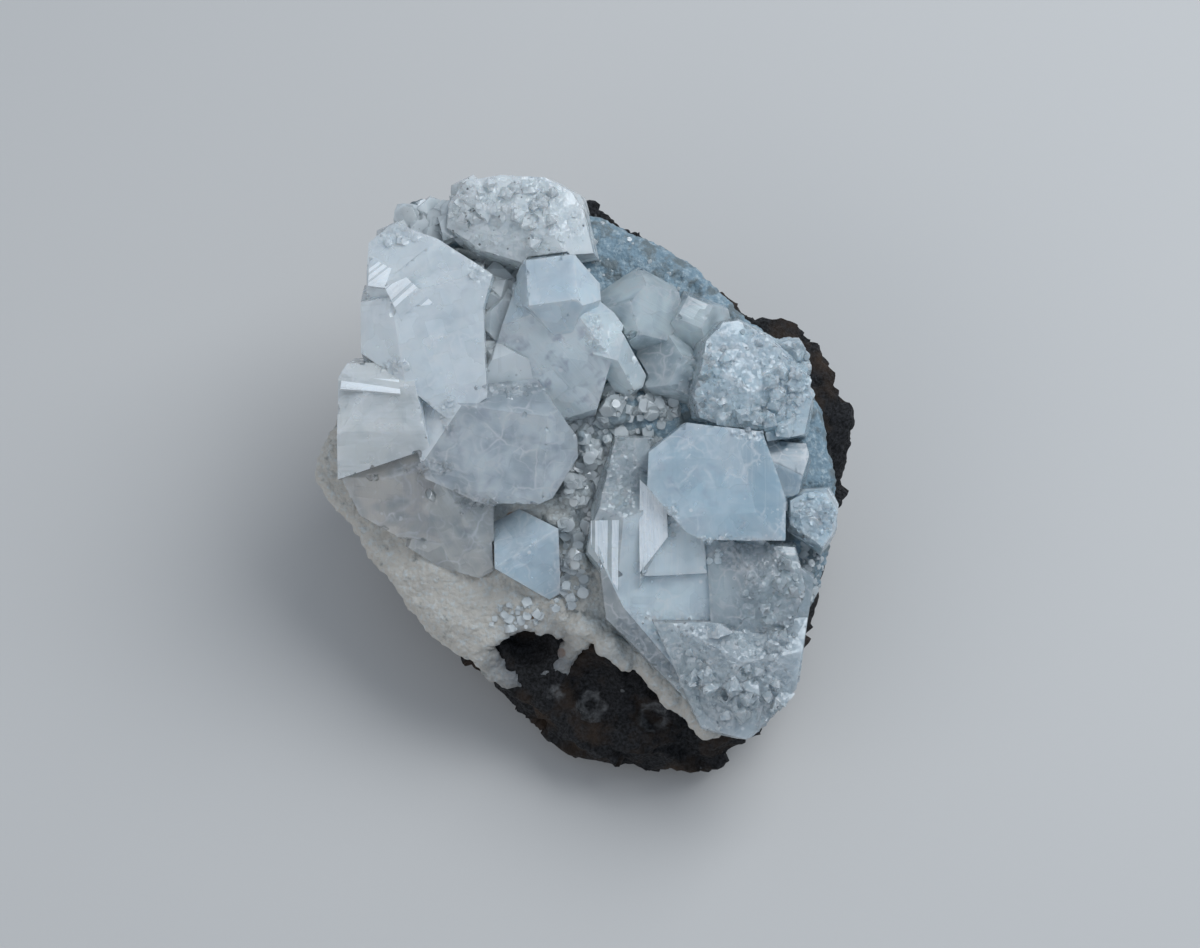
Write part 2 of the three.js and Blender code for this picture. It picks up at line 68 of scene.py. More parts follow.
class Plate:
    """The leaning plate that the crystals stand on, as a frame of reference."""

    right = Vector((1, 0, 0))
    up = Vector((0, math.cos(PLATE_LEAN), math.sin(PLATE_LEAN)))
    out = Vector((0, -math.sin(PLATE_LEAN), math.cos(PLATE_LEAN)))
    origin = Vector((PLATE_SHIFT[0], PLATE_SHIFT[1], PLATE_HEIGHT)) * MM

    @classmethod
    def place(cls, x: float, y: float, w: float = 0.0) -> Vector:
        """Returns the point in the frame, in metres, of a place on the plate in millimetres."""
        return cls.origin + (cls.right * x + cls.up * y + cls.out * w) * MM

    @classmethod
    def direction(cls, x: float, y: float, w: float) -> Vector:
        """Returns a direction given along the plate's own axes."""
        return (cls.right * x + cls.up * y + cls.out * w).normalized()

    @classmethod
    def read(cls, point: Vector) -> tuple[float, float, float]:
        """Returns the place on the plate, in millimetres, of a point in the frame."""
        offset = (point - cls.origin) / MM
        return offset.dot(cls.right), offset.dot(cls.up), offset.dot(cls.out)


class Solver(Enum):
    """How two closed meshes are combined."""

    JOIN = "UNION"
    CUT = "DIFFERENCE"
    KEEP = "INTERSECT"


class MeshBench:
    """Small workshop for meshes: makes objects, welds, combines and refines them."""

    @staticmethod
    def object_from(name: str, mesh: bmesh.types.BMesh) -> bpy.types.Object:
        """Turns a bmesh into an object.

        Args:
            name: the piece's name.
            mesh: the bmesh, which is freed.

        Returns:
            The new object, linked into the scene.
        """
        data = bpy.data.meshes.new(name)
        mesh.to_mesh(data)
        mesh.free()
        piece = bpy.data.objects.new(name, data)
        bpy.context.scene.collection.objects.link(piece)
        return piece

    @staticmethod
    def welded(node: str) -> bmesh.types.BMesh:
        """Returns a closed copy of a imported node's mesh with its flat facets made whole."""
        mesh = bmesh.new()
        mesh.from_mesh(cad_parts[node].data)
        bmesh.ops.remove_doubles(mesh, verts=mesh.verts, dist=1e-6)
        bmesh.ops.dissolve_limit(mesh, angle_limit=0.01, verts=mesh.verts, edges=mesh.edges)
        return mesh

    @staticmethod
    def combine(piece: bpy.types.Object, tool: bpy.types.Object, how: Solver) -> None:
        """Combines a closed mesh with another one and removes the second.

        Args:
            piece: the object that keeps the result.
            tool: the object that is added, cut away or kept in common.
            how: which of the three is done.
        """
        modifier = piece.modifiers.new("combine", "BOOLEAN")
        modifier.solver = "MANIFOLD"
        modifier.operation = how.value
        modifier.object = tool
        MeshBench.apply_modifiers(piece)
        bpy.data.objects.remove(tool)

    @staticmethod
    def apply_modifiers(piece: bpy.types.Object) -> None:
        """Bakes a piece's modifiers into its mesh."""
        bpy.context.view_layer.update()
        graph = bpy.context.evaluated_depsgraph_get()
        made = bpy.data.meshes.new_from_object(piece.evaluated_get(graph))
        piece.modifiers.clear()
        old = piece.data
        piece.data = made
        bpy.data.meshes.remove(old)

    @staticmethod
    def remesh(piece: bpy.types.Object, voxel: float) -> None:
        """Rebuilds a closed mesh from small even faces, of the given size in millimetres."""
        modifier = piece.modifiers.new("remesh", "REMESH")
        modifier.mode = "VOXEL"
        modifier.voxel_size = voxel * MM
        MeshBench.apply_modifiers(piece)

    @staticmethod
    def refine(mesh: bmesh.types.BMesh, longest: Callable[[Vector], float], least: float) -> None:
        """Splits edges until none is much longer than the place allows.

        Args:
            mesh: the bmesh to refine, left as triangles.
            longest: gives the longest edge, in millimetres, at a point.
            least: the length below which no edge is split, in millimetres.
        """
        bmesh.ops.triangulate(mesh, faces=mesh.faces)
        for _ in range(9):
            long_edges = []
            for edge in mesh.edges:
                length = edge.calc_length() / MM
                if length > least and length > longest((edge.verts[0].co + edge.verts[1].co) / 2):
                    long_edges.append(edge)
            if not long_edges:
                break
            bmesh.ops.subdivide_edges(mesh, edges=long_edges, cuts=1, use_grid_fill=True)
            bmesh.ops.triangulate(mesh, faces=[f for f in mesh.faces if len(f.verts) > 3])

    @staticmethod
    def push(piece: bpy.types.Object, height: Callable[[Vector, Vector], float]) -> None:
        """Moves each vertex along its normal by a height in millimetres.

        Args:
            piece: the object whose mesh is changed.
            height: a function of the vertex's point in millimetres and its normal.
        """
        seats = [(v.co.copy(), v.normal.copy()) for v in piece.data.vertices]
        moved = [seat + normal * height(seat / MM, normal) * MM for seat, normal in seats]
        piece.data.vertices.foreach_set("co", np.array(moved, np.float32).ravel())
        piece.data.update()


class Roughen:
    """Heights of broken and grown surfaces, as sums of noise at named sizes in millimetres."""

    @staticmethod
    def soft(point: Vector, size: float, seed: float = 0.0) -> float:
        """Returns smooth noise between about -1 and 1 with lumps of the given size."""
        return noise.noise(point / size + Vector((seed, seed * 1.7, -seed)))

    @staticmethod
    def ridged(point: Vector, size: float, seed: float = 0.0) -> float:
        """Returns noise with sharp crests, between about -1 and 1."""
        return 1 - 2.6 * abs(Roughen.soft(point, size, seed))

    @staticmethod
    def facets(point: Vector, size: float) -> float:
        """Returns the height of a crust of tiny crystals, each a flat facet with its own tilt."""
        seat = point / size
        _, middles = noise.voronoi(seat)
        tilt = noise.cell_vector(middles[0] * 57.0)
        return tilt.dot(seat - middles[0]) * 0.9 + tilt.z * 0.25

    @staticmethod
    def cells(point: Vector, size: float, seed: float = 0.0) -> float:
        """Returns how far into a grain a point lies, from 0 at its rim to about 1."""
        distances, _ = noise.voronoi(point / size + Vector((seed, -seed, seed * 0.6)))
        return min(1.0, (distances[1] - distances[0]) * 1.6)


class NodeSheet:
    """Places and links shader nodes in one material or group."""

    def __init__(self, tree: bpy.types.NodeTree) -> None:
        """Starts on an empty node tree.

        Args:
            tree: the tree to draw in, which is cleared.
        """
        self.tree = tree
        tree.nodes.clear()

    def add(self, kind: str, **values) -> bpy.types.Node:
        """Adds a node and sets its properties or plain inputs.

        Args:
            kind: the node's type name after ShaderNode.
            **values: properties, or inputs named with underscores for spaces.

        Returns:
            The new node.
        """
        node = self.tree.nodes.new("ShaderNode" + kind)
        for key, value in values.items():
            if hasattr(node, key):
                setattr(node, key, value)
            else:
                node.inputs[key.replace("_", " ")].default_value = value
        return node

    def link(self, source: bpy.types.NodeSocket, target: bpy.types.NodeSocket) -> None:
        """Joins an output to an input."""
        self.tree.links.new(source, target)

    def maths(self, operation: str, first, second=None, clamp: bool = False):
        """Adds a maths node fed by sockets or plain numbers.

        Args:
            operation: the sum to make, such as MULTIPLY.
            first: a socket or a number.
            second: a socket, a number or nothing.
            clamp: whether the result stays between 0 and 1.

        Returns:
            The result's socket.
        """
        node = self.add("Math", operation=operation, use_clamp=clamp)
        for place, value in enumerate((first, second)):
            if value is None:
                continue
            if isinstance(value, (int, float)):
                node.inputs[place].default_value = value
            else:
                self.link(value, node.inputs[place])
        return node.outputs[0]

    def mix(self, share, first, second, blend: str = "MIX"):
        """Mixes two colours.

        Args:
            share: a socket or a number, how much of the second.
            first: a colour or a socket.
            second: a colour or a socket.
            blend: the way they mix.

        Returns:
            The mixed colour's socket.
        """
        node = self.add("Mix", data_type="RGBA", blend_type=blend)
        for socket, value in ((node.inputs[0], share), (node.inputs[6], first), (node.inputs[7], second)):
            if isinstance(value, bpy.types.NodeSocket):
                self.link(value, socket)
            elif isinstance(value, tuple):
                socket.default_value = (*value, 1.0)
            else:
                socket.default_value = value
        return node.outputs[2]

    def band(self, source, low: float, high: float, bottom: float = 0.0, top: float = 1.0):
        """Maps a value's band from low to high onto bottom to top, held at the ends."""
        node = self.add("MapRange", From_Min=low, From_Max=high, To_Min=bottom, To_Max=top)
        self.link(source, node.inputs["Value"])
        return node.outputs[0]


class EffectGroups:
    """The shader effects that several finishes share, each built once."""

    _made: dict[str, bpy.types.NodeTree] = {}

    @classmethod
    def _start(cls, name: str, inputs: dict[str, tuple[str, float]], outputs: Sequence[str]):
        """Opens a new group with its named sockets.

        Args:
            name: the group's name.
            inputs: each input's name, with its kind and its usual value.
            outputs: the names of the values that it gives.

        Returns:
            The sheet, its input node and its output node.
        """
        tree = bpy.data.node_groups.new(name, "ShaderNodeTree")
        sheet = NodeSheet(tree)
        for title, (kind, value) in inputs.items():
            socket = tree.interface.new_socket(title, in_out="INPUT", socket_type="NodeSocket" + kind)
            if kind == "Float":
                socket.default_value = value
        for title in outputs:
            tree.interface.new_socket(title, in_out="OUTPUT", socket_type="NodeSocketFloat")
        return sheet, tree.nodes.new("NodeGroupInput"), tree.nodes.new("NodeGroupOutput")

    @classmethod
    def growth_lines(cls) -> bpy.types.NodeTree:
        """Returns the group of fine growth lines that run along a facet."""
        if "growth_lines" in cls._made:
            return cls._made["growth_lines"]
        inputs = {"Facet": ("Vector", 0), "Pitch": ("Float", 2.0), "Waver": ("Float", 0.4)}
        sheet, given, out = cls._start("growth_lines", inputs, ("Height", "Gleam"))
        split = sheet.add("SeparateXYZ")
        sheet.link(given.outputs["Facet"], split.inputs[0])
        waver = sheet.add("TexNoise", Scale=0.35, Detail=1.0)
        sheet.link(given.outputs["Facet"], waver.inputs["Vector"])
        bend = sheet.maths("MULTIPLY", waver.outputs["Fac"], given.outputs["Waver"])
        across = sheet.maths("ADD", split.outputs["Y"], bend)
        across = sheet.maths("MULTIPLY", across, given.outputs["Pitch"])
        along = sheet.maths("MULTIPLY", split.outputs["X"], 0.04)
        seat = sheet.add("CombineXYZ")
        sheet.link(across, seat.inputs["X"])
        sheet.link(along, seat.inputs["Y"])
        sheet.link(split.outputs["Z"], seat.inputs["Z"])
        lines = sheet.add("TexNoise", Scale=1.0, Detail=2.0, Roughness=0.7)
        sheet.link(seat.outputs[0], lines.inputs["Vector"])
        sheet.link(lines.outputs["Fac"], out.inputs["Height"])
        sheet.link(sheet.band(lines.outputs["Fac"], 0.52, 0.72), out.inputs["Gleam"])
        cls._made["growth_lines"] = sheet.tree
        return sheet.tree

    @classmethod
    def inner_clouds(cls) -> bpy.types.NodeTree:
        """Returns the group of milky clouds and thin veils that lie in a crystal."""
        if "inner_clouds" in cls._made:
            return cls._made["inner_clouds"]
        inputs = {"Place": ("Vector", 0), "Size": ("Float", 6.0), "Fill": ("Float", 0.5)}
        sheet, given, out = cls._start("inner_clouds", inputs, ("Cloud", "Veil"))
        scale = sheet.maths("DIVIDE", 1.0, given.outputs["Size"])
        broad = sheet.add("TexNoise", Detail=3.0, Roughness=0.62, Distortion=0.6)
        sheet.link(given.outputs["Place"], broad.inputs["Vector"])
        sheet.link(scale, broad.inputs["Scale"])
        level = sheet.maths("SUBTRACT", 0.75, sheet.maths("MULTIPLY", given.outputs["Fill"], 0.5))
        rise = sheet.maths("SUBTRACT", broad.outputs["Fac"], level)
        cloud = sheet.maths("MULTIPLY_ADD", rise, 4.0, clamp=True)
        cloud.node.inputs[2].default_value = 0.5
        sheet.link(cloud, out.inputs["Cloud"])
        sheets = sheet.add("TexNoise", Detail=1.0, Roughness=0.5, Distortion=1.0)
        sheet.link(given.outputs["Place"], sheets.inputs["Vector"])
        sheet.link(sheet.maths("MULTIPLY", scale, 1.7), sheets.inputs["Scale"])
        crest = sheet.maths("ABSOLUTE", sheet.maths("SUBTRACT", sheets.outputs["Fac"], 0.5))
        part = sheet.band(broad.outputs["Fac"], 0.42, 0.60)
        thin = sheet.band(crest, 0.0, 0.05, 1.0, 0.0)
        sheet.link(sheet.maths("MULTIPLY", thin, part), out.inputs["Veil"])
        cls._made["inner_clouds"] = sheet.tree
        return sheet.tree

    @classmethod
    def fractures(cls) -> bpy.types.NodeTree:
        """Returns the group of thin healed cracks that cross a crystal here and there."""
        if "fractures" in cls._made:
            return cls._made["fractures"]
        inputs = {"Place": ("Vector", 0), "Size": ("Float", 4.0)}
        sheet, given, out = cls._start("fractures", inputs, ("Mask", "Fleck"))
        bend = sheet.add("TexNoise", Scale=0.5, Detail=1.0)
        sheet.link(given.outputs["Place"], bend.inputs["Vector"])
        bent = sheet.add("VectorMath", operation="MULTIPLY_ADD")
        sheet.link(bend.outputs["Color"], bent.inputs[0])
        bent.inputs[1].default_value = (1.6, 1.6, 1.6)
        sheet.link(given.outputs["Place"], bent.inputs[2])
        cells = sheet.add("TexVoronoi", feature="DISTANCE_TO_EDGE")
        sheet.link(bent.outputs[0], cells.inputs["Vector"])
        sheet.link(sheet.maths("DIVIDE", 1.0, given.outputs["Size"]), cells.inputs["Scale"])
        where = sheet.add("TexNoise", Scale=0.23, Detail=2.0)
        sheet.link(given.outputs["Place"], where.inputs["Vector"])
        here = sheet.band(where.outputs["Fac"], 0.48, 0.58)
        line = sheet.band(cells.outputs["Distance"], 0.0, 0.05, 1.0, 0.0)
        sheet.link(sheet.maths("MULTIPLY", line, here), out.inputs["Mask"])
        fine = sheet.add("TexNoise", Scale=1.7, Detail=3.0, Roughness=0.6)
        sheet.link(given.outputs["Place"], fine.inputs["Vector"])
        there = sheet.band(where.outputs["Fac"], 0.50, 0.66)
        fleck = sheet.band(fine.outputs["Fac"], 0.58, 0.66)
        sheet.link(sheet.maths("MULTIPLY", fleck, there), out.inputs["Fleck"])
        cls._made["fractures"] = sheet.tree
        return sheet.tree

    @classmethod
    def tilted_cells(cls) -> bpy.types.NodeTree:
        """Returns the group of flat growth steps, each with its own slight tilt and shade."""
        if "tilted_cells" in cls._made:
            return cls._made["tilted_cells"]
        inputs = {"Place": ("Vector", 0), "Size": ("Float", 4.0)}
        sheet, given, out = cls._start("tilted_cells", inputs, ("Height", "Shade"))
        cells = sheet.add("TexVoronoi", distance="CHEBYCHEV", Randomness=1.0)
        sheet.link(given.outputs["Place"], cells.inputs["Vector"])
        sheet.link(sheet.maths("DIVIDE", 1.0, given.outputs["Size"]), cells.inputs["Scale"])
        reach = sheet.add("VectorMath", operation="SUBTRACT")
        sheet.link(given.outputs["Place"], reach.inputs[0])
        sheet.link(cells.outputs["Position"], reach.inputs[1])
        tilt = sheet.add("VectorMath", operation="SUBTRACT")
        sheet.link(cells.outputs["Color"], tilt.inputs[0])
        tilt.inputs[1].default_value = (0.5, 0.5, 0.5)
        height = sheet.add("VectorMath", operation="DOT_PRODUCT")
        sheet.link(reach.outputs[0], height.inputs[0])
        sheet.link(tilt.outputs[0], height.inputs[1])
        sheet.link(height.outputs["Value"], out.inputs["Height"])
        split = sheet.add("SeparateColor")
        sheet.link(cells.outputs["Color"], split.inputs[0])
        sheet.link(split.outputs[2], out.inputs["Shade"])
        cls._made["tilted_cells"] = sheet.tree
        return sheet.tree

    @classmethod
    def specks(cls) -> bpy.types.NodeTree:
        """Returns the group of scattered small specks."""
        if "specks" in cls._made:
            return cls._made["specks"]
        inputs = {"Place": ("Vector", 0), "Spacing": ("Float", 2.0), "Share": ("Float", 0.2)}
        sheet, given, out = cls._start("specks", inputs, ("Mask",))
        cells = sheet.add("TexVoronoi", Randomness=1.0)
        sheet.link(given.outputs["Place"], cells.inputs["Vector"])
        sheet.link(sheet.maths("DIVIDE", 1.0, given.outputs["Spacing"]), cells.inputs["Scale"])
        split = sheet.add("SeparateColor")
        sheet.link(cells.outputs["Color"], split.inputs[0])
        chosen = sheet.maths("LESS_THAN", split.outputs[0], given.outputs["Share"])
        size = sheet.maths("MULTIPLY", split.outputs[1], 0.22)
        near = sheet.maths("SUBTRACT", sheet.maths("ADD", size, 0.06), cells.outputs["Distance"])
        spot = sheet.maths("MULTIPLY", near, 14.0, clamp=True)
        sheet.link(sheet.maths("MULTIPLY", spot, chosen), out.inputs["Mask"])
        cls._made["specks"] = sheet.tree
        return sheet.tree


@dataclass(frozen=True)
class Finish:
    """What every finish has: a name and a way to build its material."""

    name: str

    def sheet(self) -> tuple[bpy.types.Material, NodeSheet]:
        """Starts this finish's material.

        Returns:
            The material and the sheet to draw its nodes on.
        """
        material = bpy.data.materials.new(self.name)
        material.use_nodes = True
        return material, NodeSheet(material.node_tree)

    def place_in_mm(self, sheet: NodeSheet):
        """Returns the socket with the surface's place in the frame, in millimetres."""
        seat = sheet.add("TexCoord")
        scaled = sheet.add("VectorMath", operation="SCALE")
        scaled.inputs["Scale"].default_value = 1 / MM
        sheet.link(seat.outputs["Object"], scaled.inputs[0])
        return scaled.outputs[0]

    def group(self, sheet: NodeSheet, tree: bpy.types.NodeTree, links: dict) -> bpy.types.Node:
        """Places a shared effect in the material.

        Args:
            sheet: the material's sheet.
            tree: the effect's group.
            links: each input's name with its socket or plain value.

        Returns:
            The group's node.
        """
        node = sheet.add("Group", node_tree=tree)
        for title, value in links.items():
            if isinstance(value, bpy.types.NodeSocket):
                sheet.link(value, node.inputs[title])
            else:
                node.inputs[title].default_value = value
        return node


@dataclass(frozen=True)
class CrystalFinish(Finish):
    """Crystal, clear by transmission, with its own clouds, veils and growth lines on each facet.

    The mesh carries the crystal's colour as its tone; the white tone of the striped ridges is
    painted reflection. Its habit holds how cloudy it is, how strong its growth lines are, how many
    dark specks it has and how streaky it is inside. The rim is 1 near a sharp edge, where the colour
    is whitened partly as wear and partly as a painted edge highlight. The sugar is 1 where tiny
    crystals cover the facet.
    """

    clarity: float = 0.42
    milk: Colour = (0.93, 0.95, 0.96)
    depth: Colour = (0.34, 0.41, 0.46)
    streak: Colour = (0.42, 0.43, 0.52)
    speck: Colour = (0.05, 0.05, 0.05)
    cloud_size: float = 6.0
    cloud_fill: float = 0.5
    veil_strength: float = 0.3
    depth_strength: float = 0.6
    # How much the rims are whitened: partly wear, partly a painted edge highlight.
    rim_wear_and_highlight: float = 0.55
    crack_size: float = 4.5
    crack_strength: float = 0.5
    roughness: tuple[float, float] = (0.10, 0.30)
    line_pitch: float = 2.4
    ripple: float = 0.8
    step_size: float = 3.6
    step_slope: float = 0.22
    sugar_size: float = 0.55
    sugar_slope: float = 0.7
    glint_share: float = 0.13
    tint: Colour = (0.78, 0.88, 0.92)
    tint_density: float = 14.0
    glow: float = 0.40
    bump_height: float = 0.18

    def body_colour(self, sheet: NodeSheet, place: bpy.types.NodeSocket,
                    habit: bpy.types.Node, cloudy: bpy.types.NodeSocket) -> bpy.types.NodeSocket:
        """Draws what lies in the crystal: its tone, clouds, veils, streaks and dim depth.

        Args:
            sheet: the material's sheet.
            place: the place in millimetres.
            habit: the node that splits the habit.
            cloudy: how streaky the crystal is.

        Returns:
            The colour's socket.
        """
        tone = sheet.add("Attribute", attribute_name="tone")
        clouds = self.group(sheet, EffectGroups.inner_clouds(),
                            {"Place": place, "Size": self.cloud_size, "Fill": self.cloud_fill})
        body = sheet.add("TexNoise", Scale=0.16, Detail=2.0, Roughness=0.65)
        sheet.link(place, body.inputs["Vector"])
        clear_share = sheet.maths("SUBTRACT", 1.0, habit.outputs[0])
        dim = sheet.band(body.outputs["Fac"], 0.44, 0.60, 0.0, self.depth_strength)
        colour = sheet.mix(sheet.maths("MULTIPLY", dim, clear_share), tone.outputs["Color"], self.depth)
        smoke = sheet.add("TexNoise", Scale=0.42, Detail=2.0, Roughness=0.6, Distortion=0.5)
        sheet.link(place, smoke.inputs["Vector"])
        streaky = sheet.maths("MULTIPLY", sheet.band(smoke.outputs["Fac"], 0.52, 0.68), cloudy)
        colour = sheet.mix(streaky, colour, self.streak)
        cloud = sheet.maths("MULTIPLY", clouds.outputs["Cloud"], habit.outputs[0])
        colour = sheet.mix(sheet.maths("MULTIPLY", cloud, 0.55), colour, self.milk)
        veil = sheet.maths("MULTIPLY", clouds.outputs["Veil"], self.veil_strength)
        colour = sheet.mix(veil, colour, self.milk)
        cracks = self.group(sheet, EffectGroups.fractures(), {"Place": place, "Size": self.crack_size})
        crack = sheet.maths("MULTIPLY", cracks.outputs["Mask"], self.crack_strength)
        colour = sheet.mix(crack, colour, self.milk)
        return sheet.mix(sheet.maths("MULTIPLY", cracks.outputs["Fleck"], 0.6), colour, self.milk)

    def skin_colour(self, sheet: NodeSheet, place: bpy.types.NodeSocket, habit: bpy.types.Node,
                    body: bpy.types.NodeSocket, lines: bpy.types.Node,
                    sugar: bpy.types.NodeSocket) -> bpy.types.NodeSocket:
        """Adds what lies on the facet: growth lines, sugar with painted glints on some grains, rims
        whitened partly as wear and partly as a painted edge highlight, painted glints and dark specks.

        Args:
            sheet: the material's sheet.
            place: the place in millimetres.
            habit: the node that splits the habit.
            body: the colour under it.
            lines: the growth lines' node.
            sugar: how sugary the facet is.

        Returns:
            The colour's socket.
        """
        gleam = sheet.maths("MULTIPLY", lines.outputs["Gleam"], habit.outputs[1])
        colour = sheet.mix(gleam, body, self.milk)
        grains = self.group(sheet, EffectGroups.tilted_cells(), {"Place": place, "Size": self.sugar_size})
        dull = sheet.maths("MULTIPLY", sheet.band(grains.outputs["Shade"], 0.0, 0.5, 0.22, 0.0), sugar)
        colour = sheet.mix(dull, colour, self.depth)
        # Lightens a share of the sugar grains to milk: painted glints.
        glinting_grains = sheet.maths("MULTIPLY", sheet.band(grains.outputs["Shade"], 0.75, 1.0, 0.0, 0.8), sugar)
        colour = sheet.mix(glinting_grains, colour, self.milk)
        # Whitens the rims: partly wear, partly a painted highlight along the edges.
        rim = sheet.add("Attribute", attribute_name="rim")
        wear = sheet.add("TexNoise", Scale=0.9, Detail=1.0, Roughness=0.65)
        sheet.link(place, wear.inputs["Vector"])
        worn_and_highlit = sheet.maths("MULTIPLY", rim.outputs["Fac"], sheet.band(wear.outputs["Fac"], 0.40, 0.60))
        colour = sheet.mix(sheet.maths("MULTIPLY", worn_and_highlit, self.rim_wear_and_highlight), colour, self.milk)
        glints = self.group(sheet, EffectGroups.specks(),
                            {"Place": place, "Spacing": 1.5, "Share": self.glint_share})
        colour = sheet.mix(sheet.maths("MULTIPLY", glints.outputs["Mask"], 0.8), colour, self.milk)
        dots = self.group(sheet, EffectGroups.specks(), {"Place": place, "Spacing": 0.95, "Share": 0.4})
        dark = sheet.maths("MULTIPLY", dots.outputs["Mask"], habit.outputs[2])
        return sheet.mix(dark, colour, self.speck)

    def relief(self, sheet: NodeSheet, place: bpy.types.NodeSocket, facet: bpy.types.NodeSocket,
               strength: bpy.types.NodeSocket, lines: bpy.types.Node,
               sugar: bpy.types.NodeSocket) -> bpy.types.NodeSocket:
        """Adds up the fine relief of a facet: lines, swell, growth steps and sugar.

        Args:
            sheet: the material's sheet.
            place: the place in millimetres.
            facet: the place along and across the facet.
            strength: how strong the growth lines are.
            lines: the growth lines' node.
            sugar: how sugary the facet is.

        Returns:
            The bumped normal's socket.
        """
        ripple = sheet.add("TexNoise", Scale=0.28, Detail=1.0)
        sheet.link(place, ripple.inputs["Vector"])
        swell = sheet.maths("MULTIPLY", ripple.outputs["Fac"], self.ripple)
        height = sheet.maths("ADD", sheet.maths("MULTIPLY", lines.outputs["Height"], strength), swell)
        steps = self.group(sheet, EffectGroups.tilted_cells(), {"Place": facet, "Size": self.step_size})
        rise = sheet.maths("MULTIPLY", steps.outputs["Height"], self.step_slope / self.bump_height)
        height = sheet.maths("ADD", height, rise)
        grains = self.group(sheet, EffectGroups.tilted_cells(), {"Place": place, "Size": self.sugar_size})
        grain = sheet.maths("MULTIPLY", grains.outputs["Height"], self.sugar_slope / self.bump_height)
        height = sheet.maths("ADD", height, sheet.maths("MULTIPLY", grain, sugar))
        bump = sheet.add("Bump", Strength=1.0, Distance=self.bump_height * MM)
        sheet.link(height, bump.inputs["Height"])
        return bump.outputs[0]

    def build(self) -> bpy.types.Material:
        """Builds the material.

        Returns:
            The finished material.
        """
        material, sheet = self.sheet()
        place = self.place_in_mm(sheet)
        facet = sheet.add("UVMap", uv_map="facet").outputs[0]
        habit_colour = sheet.add("Attribute", attribute_name="habit")
        habit = sheet.add("SeparateColor")
        sheet.link(habit_colour.outputs["Color"], habit.inputs[0])
        sugar = sheet.add("Attribute", attribute_name="sugar").outputs["Fac"]
        lines = self.group(sheet, EffectGroups.growth_lines(),
                           {"Facet": facet, "Pitch": self.line_pitch, "Waver": 0.5})
        shader = sheet.add("BsdfPrincipled", IOR=REFRACTIVE_INDEX, Transmission_Weight=self.clarity)
        shader.inputs["Subsurface Weight"].default_value = self.glow
        shader.inputs["Subsurface Radius"].default_value = (1.0, 1.1, 1.2)
        shader.inputs["Subsurface Scale"].default_value = 2.0 * MM
        body = self.body_colour(sheet, place, habit, habit_colour.outputs["Alpha"])
        colour = self.skin_colour(sheet, place, habit, body, lines, sugar)
        sheet.link(colour, shader.inputs["Base Color"])
        smear = sheet.add("TexNoise", Scale=0.5, Detail=1.0)
        sheet.link(place, smear.inputs["Vector"])
        rough = sheet.band(smear.outputs["Fac"], 0.35, 0.7, *self.roughness)
        sheet.link(rough, shader.inputs["Roughness"])
        normal = self.relief(sheet, place, facet, habit.outputs[1], lines, sugar)
        sheet.link(normal, shader.inputs["Normal"])
        absorb = sheet.add("VolumeAbsorption", Color=(*self.tint, 1.0), Density=self.tint_density)
        out = sheet.add("OutputMaterial")
        sheet.link(shader.outputs[0], out.inputs["Surface"])
        sheet.link(absorb.outputs[0], out.inputs["Volume"])
        return material


